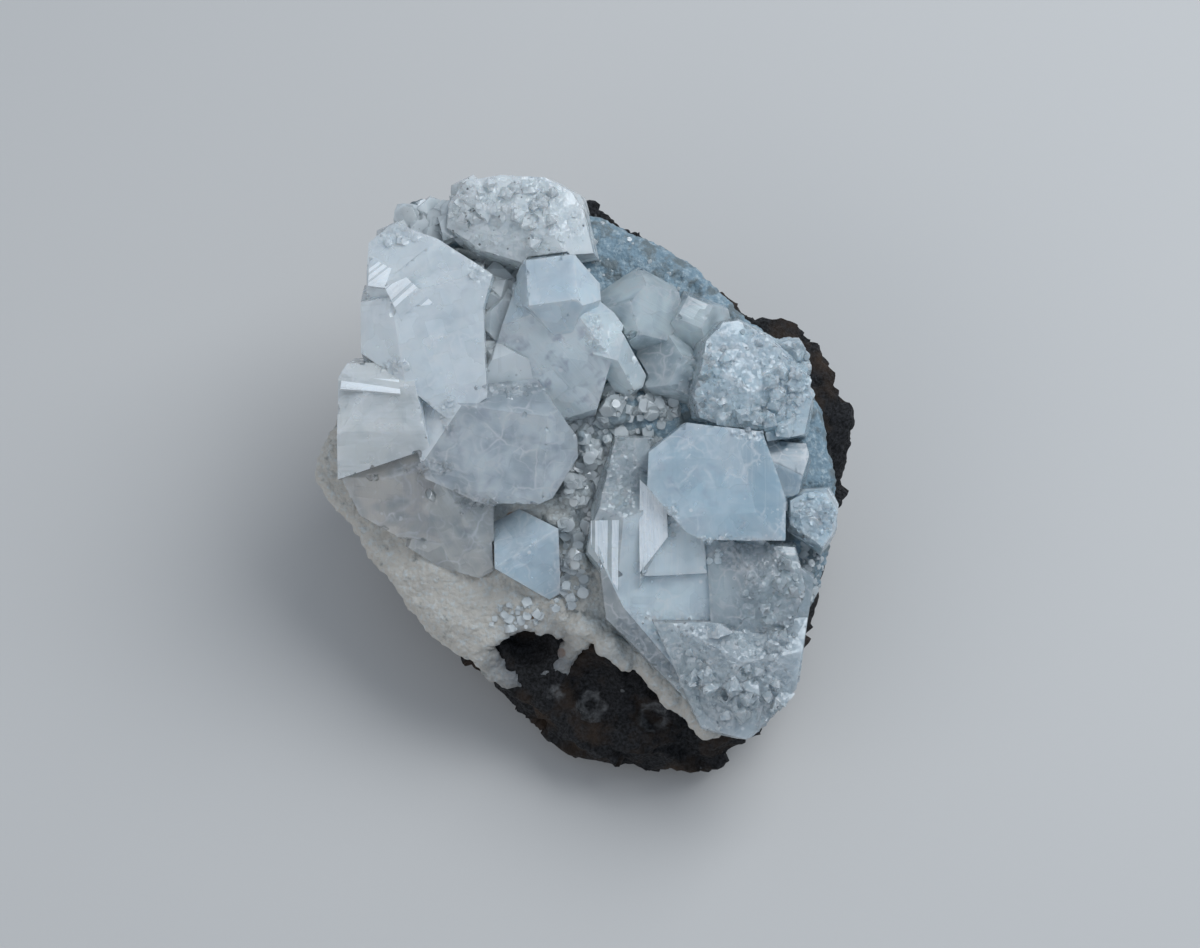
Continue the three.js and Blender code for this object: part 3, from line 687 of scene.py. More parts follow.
@dataclass(frozen=True)
class RindFinish(Finish):
    """Chalky, sugary rind: pale blue at the back and right, cream and grey at the front left."""

    blue: Colour = (0.17, 0.25, 0.30)
    cream: Colour = (0.47, 0.44, 0.39)
    white: Colour = (0.50, 0.56, 0.58)
    dirt: Colour = (0.12, 0.14, 0.14)
    brown: Colour = (0.30, 0.19, 0.12)
    # Colour of the darkening round the hollow: painted shade of the recess, with darker dirt.
    hollow_dirt_and_shade: Colour = (0.085, 0.095, 0.11)
    hollow: tuple[float, float, float] = (-6.4, -26.4, -10.5)
    hollow_reach: float = 8.5

    def build(self) -> bpy.types.Material:
        """Builds the material.

        Returns:
            The finished material.
        """
        material, sheet = self.sheet()
        place = self.place_in_mm(sheet)
        split = sheet.add("SeparateXYZ")
        sheet.link(place, split.inputs[0])
        slant = sheet.maths("ADD", split.outputs["X"], sheet.maths("MULTIPLY", split.outputs["Y"], 1.1))
        patches = sheet.add("TexNoise", Scale=0.12, Detail=4.0)
        sheet.link(place, patches.inputs["Vector"])
        drift = sheet.maths("MULTIPLY", sheet.maths("SUBTRACT", patches.outputs["Fac"], 0.5), 60.0)
        side = sheet.band(sheet.maths("ADD", slant, drift), -22.0, 12.0)
        colour = sheet.mix(side, self.cream, self.blue)
        sugar = sheet.add("TexNoise", Scale=1.3, Detail=4.0, Roughness=0.7)
        sheet.link(place, sugar.inputs["Vector"])
        pale = sheet.band(sugar.outputs["Fac"], 0.48, 0.74, 0.0, 0.8)
        colour = sheet.mix(pale, colour, self.white)
        stain = sheet.add("TexNoise", Scale=0.33, Detail=4.0, Roughness=0.65)
        sheet.link(place, stain.inputs["Vector"])
        stained = sheet.maths("ADD", stain.outputs["Fac"], sheet.maths("MULTIPLY", side, 0.12))
        colour = sheet.mix(sheet.band(stained, 0.60, 0.72, 0.0, 0.8), colour, self.dirt)
        specks = self.group(sheet, EffectGroups.specks(),
                            {"Place": place, "Spacing": 3.4, "Share": 0.16})
        colour = sheet.mix(specks.outputs["Mask"], colour, self.brown)
        # Darkens the rind round the hollow: painted shade of the recess, with darker dirt there.
        apart = sheet.add("VectorMath", operation="DISTANCE")
        sheet.link(place, apart.inputs[0])
        apart.inputs[1].default_value = tuple(Plate.place(*self.hollow) / MM)
        reach = sheet.maths("ADD", apart.outputs["Value"], sheet.maths("MULTIPLY", stain.outputs["Fac"], 5.0))
        dim = sheet.band(reach, self.hollow_reach - 2.5, self.hollow_reach + 3.0, 0.85, 0.0)
        colour = sheet.mix(dim, colour, self.hollow_dirt_and_shade)
        shader = sheet.add("BsdfPrincipled", IOR=1.5)
        shader.inputs["Subsurface Weight"].default_value = 0.35
        shader.inputs["Subsurface Radius"].default_value = (1.0, 1.0, 1.1)
        shader.inputs["Subsurface Scale"].default_value = 1.2 * MM
        sheet.link(colour, shader.inputs["Base Color"])
        sheet.link(sheet.band(sugar.outputs["Fac"], 0.3, 0.7, 0.42, 0.8), shader.inputs["Roughness"])
        grain = sheet.add("TexVoronoi", Scale=1.6)
        sheet.link(place, grain.inputs["Vector"])
        rise = sheet.maths("ADD", sheet.maths("MULTIPLY", sugar.outputs["Fac"], 1.2),
                           sheet.maths("MULTIPLY", grain.outputs["Distance"], -0.8))
        bump = sheet.add("Bump", Strength=0.9, Distance=0.25 * MM)
        sheet.link(rise, bump.inputs["Height"])
        sheet.link(bump.outputs[0], shader.inputs["Normal"])
        out = sheet.add("OutputMaterial")
        sheet.link(shader.outputs[0], out.inputs["Surface"])
        return material


@dataclass(frozen=True)
class BasaltFinish(Finish):
    """Dark fine-grained basalt with brown weathering, grey grains and pale mineral specks."""

    black: Colour = (0.005, 0.005, 0.005)
    grey: Colour = (0.030, 0.030, 0.033)
    brown: Colour = (0.036, 0.023, 0.015)
    pale: Colour = (0.11, 0.11, 0.11)
    rings: tuple[tuple[float, float, float], ...] = ()

    def ring_mask(self, sheet: NodeSheet, place: bpy.types.NodeSocket) -> bpy.types.NodeSocket:
        """Draws the pale linings of the small filled bubbles.

        Args:
            sheet: the material's sheet.
            place: the place in millimetres.

        Returns:
            The mask's socket, 1 on a lining.
        """
        wobble = sheet.add("TexNoise", Scale=0.8, Detail=2.0)
        sheet.link(place, wobble.inputs["Vector"])
        shift = sheet.maths("MULTIPLY", wobble.outputs["Fac"], 2.4)
        mask = None
        for x, y, radius in self.rings:
            across = sheet.add("VectorMath", operation="SUBTRACT")
            sheet.link(place, across.inputs[0])
            across.inputs[1].default_value = tuple(Plate.place(x, y) / MM)
            flat = sheet.add("VectorMath", operation="CROSS_PRODUCT")
            sheet.link(across.outputs[0], flat.inputs[0])
            flat.inputs[1].default_value = tuple(Plate.out)
            length = sheet.add("VectorMath", operation="LENGTH")
            sheet.link(flat.outputs[0], length.inputs[0])
            gap = sheet.maths("SUBTRACT", sheet.maths("ADD", length.outputs["Value"], shift), radius + 1.2)
            ring = sheet.band(sheet.maths("ABSOLUTE", gap), 0.1, 0.8, 1.0, 0.0)
            mask = ring if mask is None else sheet.maths("MAXIMUM", mask, ring)
        patchy = sheet.add("TexNoise", Scale=0.6, Detail=3.0, Roughness=0.7)
        sheet.link(place, patchy.inputs["Vector"])
        return sheet.maths("MULTIPLY", mask, sheet.band(patchy.outputs["Fac"], 0.38, 0.62, 0.1, 1.0))

    def build(self) -> bpy.types.Material:
        """Builds the material.

        Returns:
            The finished material.
        """
        material, sheet = self.sheet()
        place = self.place_in_mm(sheet)
        broad = sheet.add("TexNoise", Scale=0.14, Detail=4.0)
        sheet.link(place, broad.inputs["Vector"])
        fine = sheet.add("TexNoise", Scale=2.2, Detail=4.0, Roughness=0.7)
        sheet.link(place, fine.inputs["Vector"])
        colour = sheet.mix(sheet.band(fine.outputs["Fac"], 0.4, 0.7), self.black, self.grey)
        colour = sheet.mix(sheet.band(broad.outputs["Fac"], 0.5, 0.66), colour, self.brown)
        specks = self.group(sheet, EffectGroups.specks(),
                            {"Place": place, "Spacing": 1.9, "Share": 0.07})
        colour = sheet.mix(specks.outputs["Mask"], colour, self.pale)
        colour = sheet.mix(self.ring_mask(sheet, place), colour, self.pale)
        shader = sheet.add("BsdfPrincipled", IOR=1.5, Specular_IOR_Level=0.2)
        sheet.link(colour, shader.inputs["Base Color"])
        sheet.link(sheet.band(fine.outputs["Fac"], 0.35, 0.65, 0.9, 0.5), shader.inputs["Roughness"])
        bump = sheet.add("Bump", Strength=1.0, Distance=0.3 * MM)
        rise = sheet.maths("ADD", fine.outputs["Fac"], specks.outputs["Mask"])
        sheet.link(rise, bump.inputs["Height"])
        sheet.link(bump.outputs[0], shader.inputs["Normal"])
        out = sheet.add("OutputMaterial")
        sheet.link(shader.outputs[0], out.inputs["Surface"])
        return material


@dataclass(frozen=True)
class FloorFinish(Finish):
    """The plain pale floor under the specimen."""

    colour: Colour = (0.50, 0.485, 0.465)

    def build(self) -> bpy.types.Material:
        """Builds the material.

        Returns:
            The finished material.
        """
        material, sheet = self.sheet()
        shader = sheet.add("BsdfPrincipled", Roughness=0.75)
        shader.inputs["Base Color"].default_value = (*self.colour, 1.0)
        out = sheet.add("OutputMaterial")
        sheet.link(shader.outputs[0], out.inputs["Surface"])
        return material


class Clearness(Enum):
    """Whether a crystal is cloudy, glassy or glare white (painted reflection), which picks its material."""

    MILKY = 0
    GLASSY = 1
    GLARE_WHITE = 2


@dataclass(frozen=True)
class Tone:
    """How one crystal of a group looks, and where it stands on the plate, in millimetres."""

    x: float
    y: float
    colour: Colour
    cloud: float = 0.5
    lines: float = 0.15
    line_turn: Optional[float] = None
    specks: float = 0.0
    streaks: float = 0.0
    clearness: Clearness = Clearness.MILKY

    def run(self, normal: Vector, longest: Vector) -> Vector:
        """Returns the way that growth lines run on a facet of this crystal.

        Args:
            normal: the facet's normal.
            longest: the direction of the facet's longest edge.

        Returns:
            A unit vector in the facet's plane.
        """
        if self.line_turn is None:
            return longest
        turn = math.radians(self.line_turn)
        wanted = Plate.direction(math.cos(turn), math.sin(turn), 0)
        laid = wanted - normal * wanted.dot(normal)
        return laid.normalized() if laid.length > 0.1 else longest


@dataclass(frozen=True)
class FacetPlane:
    """A flat facet: its normal, its offset in metres, the run of its lines and its tone."""

    normal: Vector
    offset: float
    run: Vector
    tone: int


@dataclass(frozen=True)
class Druse:
    """An oval patch of small crystals on the plate, with its middle in millimetres."""

    x: float
    y: float
    half_width: float
    half_height: float
    count: int
    size: float
    spin: float = 0.0
    jitter: float = 0.3
    sunk: float = 0.6
    cell: float = 1.0
    relief: float = 0.12

    def strength(self, point: Vector) -> float:
        """Returns how deep in the patch a point is, from 0 outside to 1 well inside."""
        x, y, _ = Plate.read(point)
        dx, dy = x - self.x, y - self.y
        if math.hypot(dx, dy) > 1.5 * max(self.half_width, self.half_height):
            return 0.0
        spin = math.radians(self.spin)
        along = (dx * math.cos(spin) + dy * math.sin(spin)) / self.half_width
        across = (dy * math.cos(spin) - dx * math.sin(spin)) / self.half_height
        ragged = Roughen.soft(point / MM, 3.0) * 0.35
        return max(0.0, min(1.0, (1.15 + ragged - math.hypot(along, across)) * 3))

    def seats(self, tree: BVHTree, rng: random.Random) -> list[tuple[Matrix, float]]:
        """Finds the places of the small crystals on a body.

        Args:
            tree: the body that they sit on.
            rng: the patch's random numbers.

        Returns:
            For each crystal its place in the frame and its size in metres.
        """
        spin = math.radians(self.spin)
        side = Plate.right * math.cos(spin) + Plate.up * math.sin(spin)
        rise = Plate.up * math.cos(spin) - Plate.right * math.sin(spin)
        middle = Plate.place(self.x, self.y, 60)
        lean = Vector((rng.gauss(0, 1), rng.gauss(0, 1), rng.gauss(0, 1))) * 0.25
        found = []
        for _ in range(self.count):
            reach, angle = math.sqrt(rng.random()), rng.uniform(0, 2 * math.pi)
            start = middle + side * reach * math.cos(angle) * self.half_width * MM
            start = start + rise * reach * math.sin(angle) * self.half_height * MM
            spot, normal, _, _ = tree.ray_cast(start, -Plate.out)
            size = self.size * MM * (0.45 + 0.9 * rng.random() ** 1.6)
            wobble = Vector((rng.gauss(0, 1), rng.gauss(0, 1), rng.gauss(0, 1))) * self.jitter
            turned = rng.uniform(0, 2 * math.pi)
            if spot is None:
                continue
            axis = (normal + lean + wobble).normalized()
            matrix = Matrix.Translation(spot - normal * size * self.sunk)
            matrix = matrix @ axis.to_track_quat("Z", "Y").to_matrix().to_4x4()
            found.append((matrix @ Matrix.Rotation(turned, 4, "Z"), size))
        return found


@dataclass(frozen=True)
class StripedFace:
    """A patch of growth ridges on a facet, with a straight outline on the plate in millimetres; ridges in a white tone
    are painted reflection.
    """

    outline: Sequence[tuple[float, float]]
    turn: float
    pitch: float
    height: float
    tones: tuple[int, int]
    share: float = 0.5

    def bands(self, rng: random.Random) -> list[tuple[list[tuple[float, float]], float, int]]:
        """Cuts the outline into its ridges.

        Args:
            rng: the patch's random numbers.

        Returns:
            For each ridge its outline, its height in millimetres and its tone.
        """
        turn = math.radians(self.turn + 90)
        aside = (math.cos(turn), math.sin(turn))
        reaches = [x * aside[0] + y * aside[1] for x, y in self.outline]
        low, high = min(reaches), max(reaches)
        found = []
        while low < high:
            width = self.pitch * rng.uniform(0.4, 1.6)
            part = self.clip(self.clip(list(self.outline), aside, low, 1), aside, low + width + 0.01, -1)
            tone = self.tones[0] if rng.random() < self.share else self.tones[1]
            if len(part) > 2:
                found.append((part, self.height * rng.uniform(0.25, 1.0), tone))
            low += width
        return found

    @staticmethod
    def clip(outline: list[tuple[float, float]], aside: tuple[float, float], at: float,
             sign: int) -> list[tuple[float, float]]:
        """Keeps the part of an outline on one side of a line.

        Args:
            outline: the corners.
            aside: the direction across the line.
            at: the line's reach in that direction.
            sign: 1 to keep what is beyond it, -1 to keep what is short of it.

        Returns:
            The corners that are left.
        """
        kept = []
        for place, (x, y) in enumerate(outline):
            nx, ny = outline[(place + 1) % len(outline)]
            here = sign * (x * aside[0] + y * aside[1] - at)
            there = sign * (nx * aside[0] + ny * aside[1] - at)
            if here >= 0:
                kept.append((x, y))
            if here * there < 0:
                share = here / (here - there)
                kept.append((x + (nx - x) * share, y + (ny - y) * share))
        return kept


@dataclass
class FacetedPiece:
    """A group of crystals grown as one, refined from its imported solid."""

    name: str
    node: str
    slot: str
    tones: Sequence[Tone]
    finishes: Sequence[CrystalFinish]
    druses: Sequence[Druse] = ()
    stripes: Sequence[StripedFace] = ()
    chips: int = 40
    chip_size: float = 0.8
    grain: float = 0.8
    fine_grain: float = 0.42
    swell: float = 0.08
    rim_width: float = 0.55
    seed: int = 1

    small_side = 0.75
    small_cut = 0.5
    root_depth = 0.5

    def nearest_tone(self, point: Vector) -> int:
        """Returns the place in the list of the crystal nearest to a point."""
        x, y, _ = Plate.read(point)
        return min(range(len(self.tones)), key=lambda i: (self.tones[i].x - x) ** 2 + (self.tones[i].y - y) ** 2)

    def facet_planes(self, mesh: bmesh.types.BMesh) -> list[FacetPlane]:
        """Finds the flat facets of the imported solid.

        Args:
            mesh: the welded solid.

        Returns:
            The facets, the largest first.
        """
        planes = []
        for face in sorted(mesh.faces, key=lambda f: -f.calc_area()):
            longest = max(face.edges, key=lambda e: e.calc_length())
            run = (longest.verts[1].co - longest.verts[0].co).normalized()
            normal = face.normal.copy()
            tone = self.nearest_tone(face.calc_center_median())
            run = self.tones[tone].run(normal, run)
            planes.append(FacetPlane(normal, normal.dot(face.verts[0].co), run, tone))
        return planes

    def chip_cutter(self, mesh: bmesh.types.BMesh) -> Optional[bpy.types.Object]:
        """Makes the rough little solids that are broken out of the crystals' edges.

        Args:
            mesh: the welded solid.

        Returns:
            One object of them all, or nothing if there are none.
        """
        rng = random.Random(self.seed)
        edges = [e for e in mesh.edges
                 if e.calc_length() > 1.5 * MM and e.is_convex and e.calc_face_angle() > 0.5]
        if not edges or not self.chips:
            return None
        weights = [e.calc_length() for e in edges]
        cutter = bmesh.new()
        for edge in rng.choices(edges, weights, k=self.chips):
            share = rng.random()
            spot = edge.verts[0].co.lerp(edge.verts[1].co, share)
            outward = (edge.link_faces[0].normal + edge.link_faces[1].normal).normalized()
            size = self.chip_size * MM * (0.35 + 1.1 * rng.random() ** 2)
            turn = Matrix.Rotation(rng.uniform(0, 6.28), 4, Vector((rng.gauss(0, 1), rng.gauss(0, 1), 1)))
            stretch = Matrix.Diagonal((rng.uniform(0.7, 1.9), 1.0, rng.uniform(0.5, 1.0), 1.0))
            seat = Matrix.Translation(spot + outward * size * rng.uniform(0.1, 0.5)) @ turn @ stretch
            made = bmesh.ops.create_icosphere(cutter, subdivisions=1, radius=size, matrix=seat)
            for vertex in made["verts"]:
                vertex.co += Vector([rng.uniform(-0.2, 0.2) * size for _ in range(3)])
        return MeshBench.object_from(self.name + "_cutter", cutter)

    def small_crystal(self, mesh: bmesh.types.BMesh, seat: Matrix, size: float, tall: float) -> None:
        """Adds one small crystal: a square prism whose corners the pyramid faces cut off.

        Args:
            mesh: the bmesh that takes it.
            seat: its place in the frame.
            size: its half width over its pyramid's edges, in metres.
            tall: its half height as a share of its size.
        """
        half, cut = size * self.small_side, size * self.small_cut
        top = size * tall
        corners = []
        for sx in (-1, 1):
            for sy in (-1, 1):
                for sz in (-1, 1):
                    corners.append((sx * half, sy * (half - cut), sz * top))
                    corners.append((sx * (half - cut), sy * half, sz * top))
                    corners.append((sx * half, sy * half, sz * (top - cut * PYRAMID_SLOPE)))
        made = [mesh.verts.new(seat @ Vector(c)) for c in corners]
        hull = bmesh.ops.convex_hull(mesh, input=made)
        loose = [v for v in hull["geom_interior"] if isinstance(v, bmesh.types.BMVert)]
        bmesh.ops.delete(mesh, geom=loose, context="VERTS")

    def add_druses(self, piece: bpy.types.Object) -> None:
        """Grows the small crystals onto the piece, in batches that don't touch each other.

        Args:
            piece: the object that they grow on.
        """
        rng = random.Random(self.seed * 31)
        source = bmesh.new()
        source.from_mesh(piece.data)
        tree = BVHTree.FromBMesh(source)
        source.free()
        batches: list[list[tuple[Matrix, float]]] = []
        for patch in self.druses:
            for seat, size in patch.seats(tree, rng):
                spot = seat.translation
                for batch in batches:
                    if all((spot - s.translation).length > 1.35 * (size + r) for s, r in batch):
                        batch.append((seat, size))
                        break
                else:
                    batches.append([(seat, size)])
        for batch in batches:
            mesh = bmesh.new()
            for seat, size in batch:
                self.small_crystal(mesh, seat, size, rng.uniform(0.75, 1.15))
            bmesh.ops.recalc_face_normals(mesh, faces=mesh.faces)
            MeshBench.combine(piece, MeshBench.object_from(self.name + "_druse", mesh), Solver.JOIN)

    def add_stripes(self, piece: bpy.types.Object, planes: list[FacetPlane]) -> None:
        """Raises the growth ridges on the striped facets.

        Args:
            piece: the object that they are on.
            planes: the facets, which the ridges' tops are added to.
        """
        rng = random.Random(self.seed * 17)
        for patch in self.stripes:
            source = bmesh.new()
            source.from_mesh(piece.data)
            tree = BVHTree.FromBMesh(source)
            source.free()
            middle_x = sum(x for x, _ in patch.outline) / len(patch.outline)
            middle_y = sum(y for _, y in patch.outline) / len(patch.outline)
            spot, normal, _, _ = tree.ray_cast(Plate.place(middle_x, middle_y, 60), -Plate.out)
            if spot is None:
                continue
            turn = math.radians(patch.turn)
            along = Plate.direction(math.cos(turn), math.sin(turn), 0)
            run = (along - normal * along.dot(normal)).normalized()
            for outline, height, tone in patch.bands(rng):
                mesh = bmesh.new()
                rings = []
                for lift in (-self.root_depth, height):
                    ring = []
                    for x, y in outline:
                        start = Plate.place(x, y, 0)
                        drop = (spot - start).dot(normal) / Plate.out.dot(normal)
                        ring.append(mesh.verts.new(start + Plate.out * drop + normal * lift * MM))
                    rings.append(ring)
                mesh.faces.new(rings[0])
                mesh.faces.new(rings[1])
                for place in range(len(outline)):
                    after = (place + 1) % len(outline)
                    mesh.faces.new((rings[0][place], rings[0][after], rings[1][after], rings[1][place]))
                bmesh.ops.recalc_face_normals(mesh, faces=mesh.faces)
                bmesh.ops.triangulate(mesh, faces=mesh.faces)
                MeshBench.combine(piece, MeshBench.object_from(self.name + "_ridge", mesh), Solver.JOIN)
                planes.append(FacetPlane(normal, normal.dot(spot) + height * MM, run, tone))

    def dress(self, piece: bpy.types.Object, planes: Sequence[FacetPlane]) -> None:
        """Gives every face its facet's coordinates, tone, habit and material.

        Args:
            piece: the refined object, all triangles.
            planes: the facets.
        """
        data = piece.data
        count = len(data.polygons)
        facing = np.empty(count * 3, np.float32)
        centre = np.empty(count * 3, np.float32)
        data.polygons.foreach_get("normal", facing)
        data.polygons.foreach_get("center", centre)
        facing, centre = facing.reshape(-1, 3), centre.reshape(-1, 3)
        normals = np.array([p.normal for p in planes])
        offsets = np.array([p.offset for p in planes])
        runs = np.array([p.run for p in planes])
        misfit = (1 - facing @ normals.T) * 20 + np.abs(centre @ normals.T - offsets) / MM
        best = np.argmin(misfit, axis=1)
        off_facet = misfit[np.arange(count), best] > 0.05
        tone = np.array([p.tone for p in planes])[best]
        spots = np.array([Plate.place(t.x, t.y) for t in self.tones])
        out = np.array(Plate.out)
        gap = centre[:, None, :] - spots[None, :, :]
        gap = gap - (gap @ out)[..., None] * out
        tone = np.where(off_facet, np.argmin((gap ** 2).sum(axis=2), axis=1), tone)
        corners = np.empty(len(data.loops), np.int32)
        data.loops.foreach_get("vertex_index", corners)
        points = np.empty(len(data.vertices) * 3, np.float32)
        data.vertices.foreach_get("co", points)
        points = points.reshape(-1, 3)[corners] / MM
        owner = np.repeat(best, 3)
        along = np.einsum("ij,ij->i", points, runs[owner]) + owner * 3.7 % 41.0
        across = np.einsum("ij,ij->i", points, np.cross(normals, runs)[owner]) + owner * 7.3 % 29.0
        layer = data.uv_layers.new(name="facet")
        layer.data.foreach_set("uv", np.stack([along, across], 1).astype(np.float32).ravel())
        colours = np.array([(*t.colour, 1.0) for t in self.tones], np.float32)
        habits = np.array([(t.cloud, t.lines, t.specks, t.streaks) for t in self.tones], np.float32)
        for title, table in (("tone", colours), ("habit", habits)):
            attribute = data.attributes.new(title, "FLOAT_COLOR", "CORNER")
            attribute.data.foreach_set("color", table[np.repeat(tone, 3)].ravel())
        data.materials.clear()
        for finish in self.finishes:
            data.materials.append(finish.build())
        kinds = np.array([t.clearness.value for t in self.tones])
        data.polygons.foreach_set("material_index", np.minimum(kinds[tone], len(self.finishes) - 1))

    def sharp_edges(self, mesh: bmesh.types.BMesh) -> KDTree:
        """Samples the edges between the facets that stand out.

        Args:
            mesh: the welded solid.

        Returns:
            A tree of points along those edges.
        """
        points = []
        for edge in mesh.edges:
            if not edge.is_convex or edge.calc_face_angle() < 0.35:
                continue
            count = max(1, round(edge.calc_length() / (0.3 * MM)))
            points += [edge.verts[0].co.lerp(edge.verts[1].co, i / count) for i in range(count + 1)]
        tree = KDTree(len(points))
        for place, point in enumerate(points):
            tree.insert(point, place)
        tree.balance()
        return tree

    def longest_edge(self, point: Vector) -> float:
        """Returns the longest edge that the mesh keeps at a point, in millimetres."""
        sugary = any(patch.strength(point) > 0 for patch in self.druses)
        return self.fine_grain if sugary else self.grain

    def relieve(self, piece: bpy.types.Object, body: BVHTree, edges: KDTree) -> None:
        """Gives the facets their slight swell and, where they are sugary, their tiny crystals.

        It also marks each point's rim, near a sharp edge, where the finish paints wear and an edge
        highlight, and its sugar for the finish.

        Args:
            piece: the refined object.
            body: the group's own facets, without its small crystals.
            edges: points along the edges between the facets.
        """
        data = piece.data
        wave = self.swell * MM
        seats = [(v.co.copy(), v.normal.copy()) for v in data.vertices]
        moved, rims, sugars = [], [], []
        for seat, normal in seats:
            strengths = [(patch.strength(seat), patch) for patch in self.druses]
            sugar, patch = max(strengths, key=lambda s: s[0], default=(0.0, None))
            point = seat / MM
            shift = noise.noise_vector(point / 5.0) * wave + noise.noise_vector(point / 1.6) * wave * 0.2
            if sugar > 0 and body.find_nearest(seat, 0.03 * MM)[0] is not None:
                shift = shift + normal * Roughen.facets(point, patch.cell) * patch.relief * 2 * sugar * MM
            moved.append(seat + shift)
            near = edges.find(seat)[2] if len(seats) else 1.0
            rims.append(max(0.0, 1 - near / (self.rim_width * MM)))
            sugars.append(sugar)
        data.vertices.foreach_set("co", np.array(moved, np.float32).ravel())
        for title, values in (("rim", rims), ("sugar", sugars)):
            data.attributes.new(title, "FLOAT", "POINT").data.foreach_set("value", values)
        data.polygons.foreach_set("use_smooth", [True] * len(data.polygons))
        data.set_sharp_from_angle(angle=math.radians(14))
        data.update()

    def build(self) -> bpy.types.Object:
        """Builds the piece and dresses it.

        Returns:
            The finished object.
        """
        mesh = MeshBench.welded(self.node)
        planes = self.facet_planes(mesh)
        cutter = self.chip_cutter(mesh)
        edges = self.sharp_edges(mesh)
        bmesh.ops.triangulate(mesh, faces=mesh.faces)
        body = BVHTree.FromBMesh(mesh)
        piece = MeshBench.object_from(self.name, mesh)
        self.add_druses(piece)
        if cutter:
            MeshBench.combine(piece, cutter, Solver.CUT)
        self.add_stripes(piece, planes)
        refined = bmesh.new()
        refined.from_mesh(piece.data)
        MeshBench.refine(refined, self.longest_edge, min(self.fine_grain, self.grain))
        refined.to_mesh(piece.data)
        refined.free()
        self.dress(piece, planes)
        self.relieve(piece, body, edges)
        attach(piece, "root")
        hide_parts(self.node)
        return piece


class Spot(NamedTuple):
    """A small round place on the plate, in millimetres: a blob that stands out or a pit."""

    x: float
    y: float
    w: float
    radius: float


@dataclass
class RoughPiece:
    """A rough closed body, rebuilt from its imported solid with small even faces."""

    name: str
    node: str
    slot: str
    finish: Finish
    voxel: float = 0.55
    lumps: Sequence[tuple[float, float]] = ((6.0, 0.5), (2.4, 0.3), (1.0, 0.18))
    grains: Sequence[tuple[float, float]] = ()
    ridges: Sequence[tuple[float, float]] = ()
    breaks: Sequence[tuple[float, float]] = ()
    blobs: Sequence[Spot] = ()
    pits: Sequence[Spot] = ()
    floor_clear: float = 0.6
    floor_fade: float = 4.0
    seed: float = 0.0

    def height(self, point: Vector, normal: Vector) -> float:
        """Returns how far a point of the surface stands out, in millimetres."""
        if point.z < self.floor_clear:
            return 0.0
        hold = min(1.0, (point.z - self.floor_clear) / self.floor_fade)
        rise = sum(Roughen.soft(point, size, self.seed) * tall for size, tall in self.lumps)
        rise += sum(Roughen.cells(point, size, self.seed) * tall for size, tall in self.grains)
        rise += sum(Roughen.ridged(point, size, self.seed) * tall for size, tall in self.ridges)
        rise += sum(Roughen.facets(point, size) * tall for size, tall in self.breaks)
        for seat, radius in self.pit_seats:
            near = (point - seat).length / radius
            if near < 1:
                rise -= radius * 0.7 * (1 - near * near)
            elif near < 1.35:
                rise += radius * 0.12
        return rise * hold

    def add_blobs(self, mesh: bmesh.types.BMesh) -> None:
        """Adds the piece's rounded lumps, which the remesh grows together with it."""
        for blob in self.blobs:
            seat = Matrix.Translation(Plate.place(blob.x, blob.y, blob.w))
            bmesh.ops.create_icosphere(mesh, subdivisions=2, radius=blob.radius * MM, matrix=seat)

    def build(self) -> bpy.types.Object:
        """Builds the piece and dresses it.

        Returns:
            The finished object.
        """
        self.pit_seats = [(Plate.place(p.x, p.y, p.w) / MM, p.radius) for p in self.pits]
        mesh = MeshBench.welded(self.node)
        self.add_blobs(mesh)
        bmesh.ops.triangulate(mesh, faces=mesh.faces)
        piece = MeshBench.object_from(self.name, mesh)
        MeshBench.remesh(piece, self.voxel)
        MeshBench.push(piece, self.height)
        piece.data.polygons.foreach_set("use_smooth", [True] * len(piece.data.polygons))
        piece.data.materials.clear()
        piece.data.materials.append(self.finish.build())
        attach(piece, "root")
        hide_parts(self.node)
        return piece


@dataclass
class Carpet:
    """Loose-set small crystals over the rind: the valley's floor, its edges and the crust's nests."""

    name: str
    slot: str
    finish: CrystalFinish
    tone: Tone
    patches: Sequence[Druse]
    seed: int = 1

    def build(self, host: bpy.types.Object) -> bpy.types.Object:
        """Builds the carpet on its host and dresses it.

        Args:
            host: the piece that the crystals sit on.

        Returns:
            The finished object.
        """
        rng = random.Random(self.seed)
        source = bmesh.new()
        source.from_mesh(host.data)
        tree = BVHTree.FromBMesh(source)
        source.free()
        grower = FacetedPiece(self.name, "", self.slot, (self.tone,), (self.finish,))
        mesh = bmesh.new()
        for patch in self.patches:
            for seat, size in patch.seats(tree, rng):
                grower.small_crystal(mesh, seat, size, rng.uniform(0.75, 1.2))
        bmesh.ops.recalc_face_normals(mesh, faces=mesh.faces)
        planes = [FacetPlane(f.normal.copy(), f.normal.dot(f.verts[0].co), Vector((1, 0, 0)), 0)
                  for f in mesh.faces[:1]]
        piece = MeshBench.object_from(self.name, mesh)
        grower.dress(piece, planes)
        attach(piece, "root")
        return piece


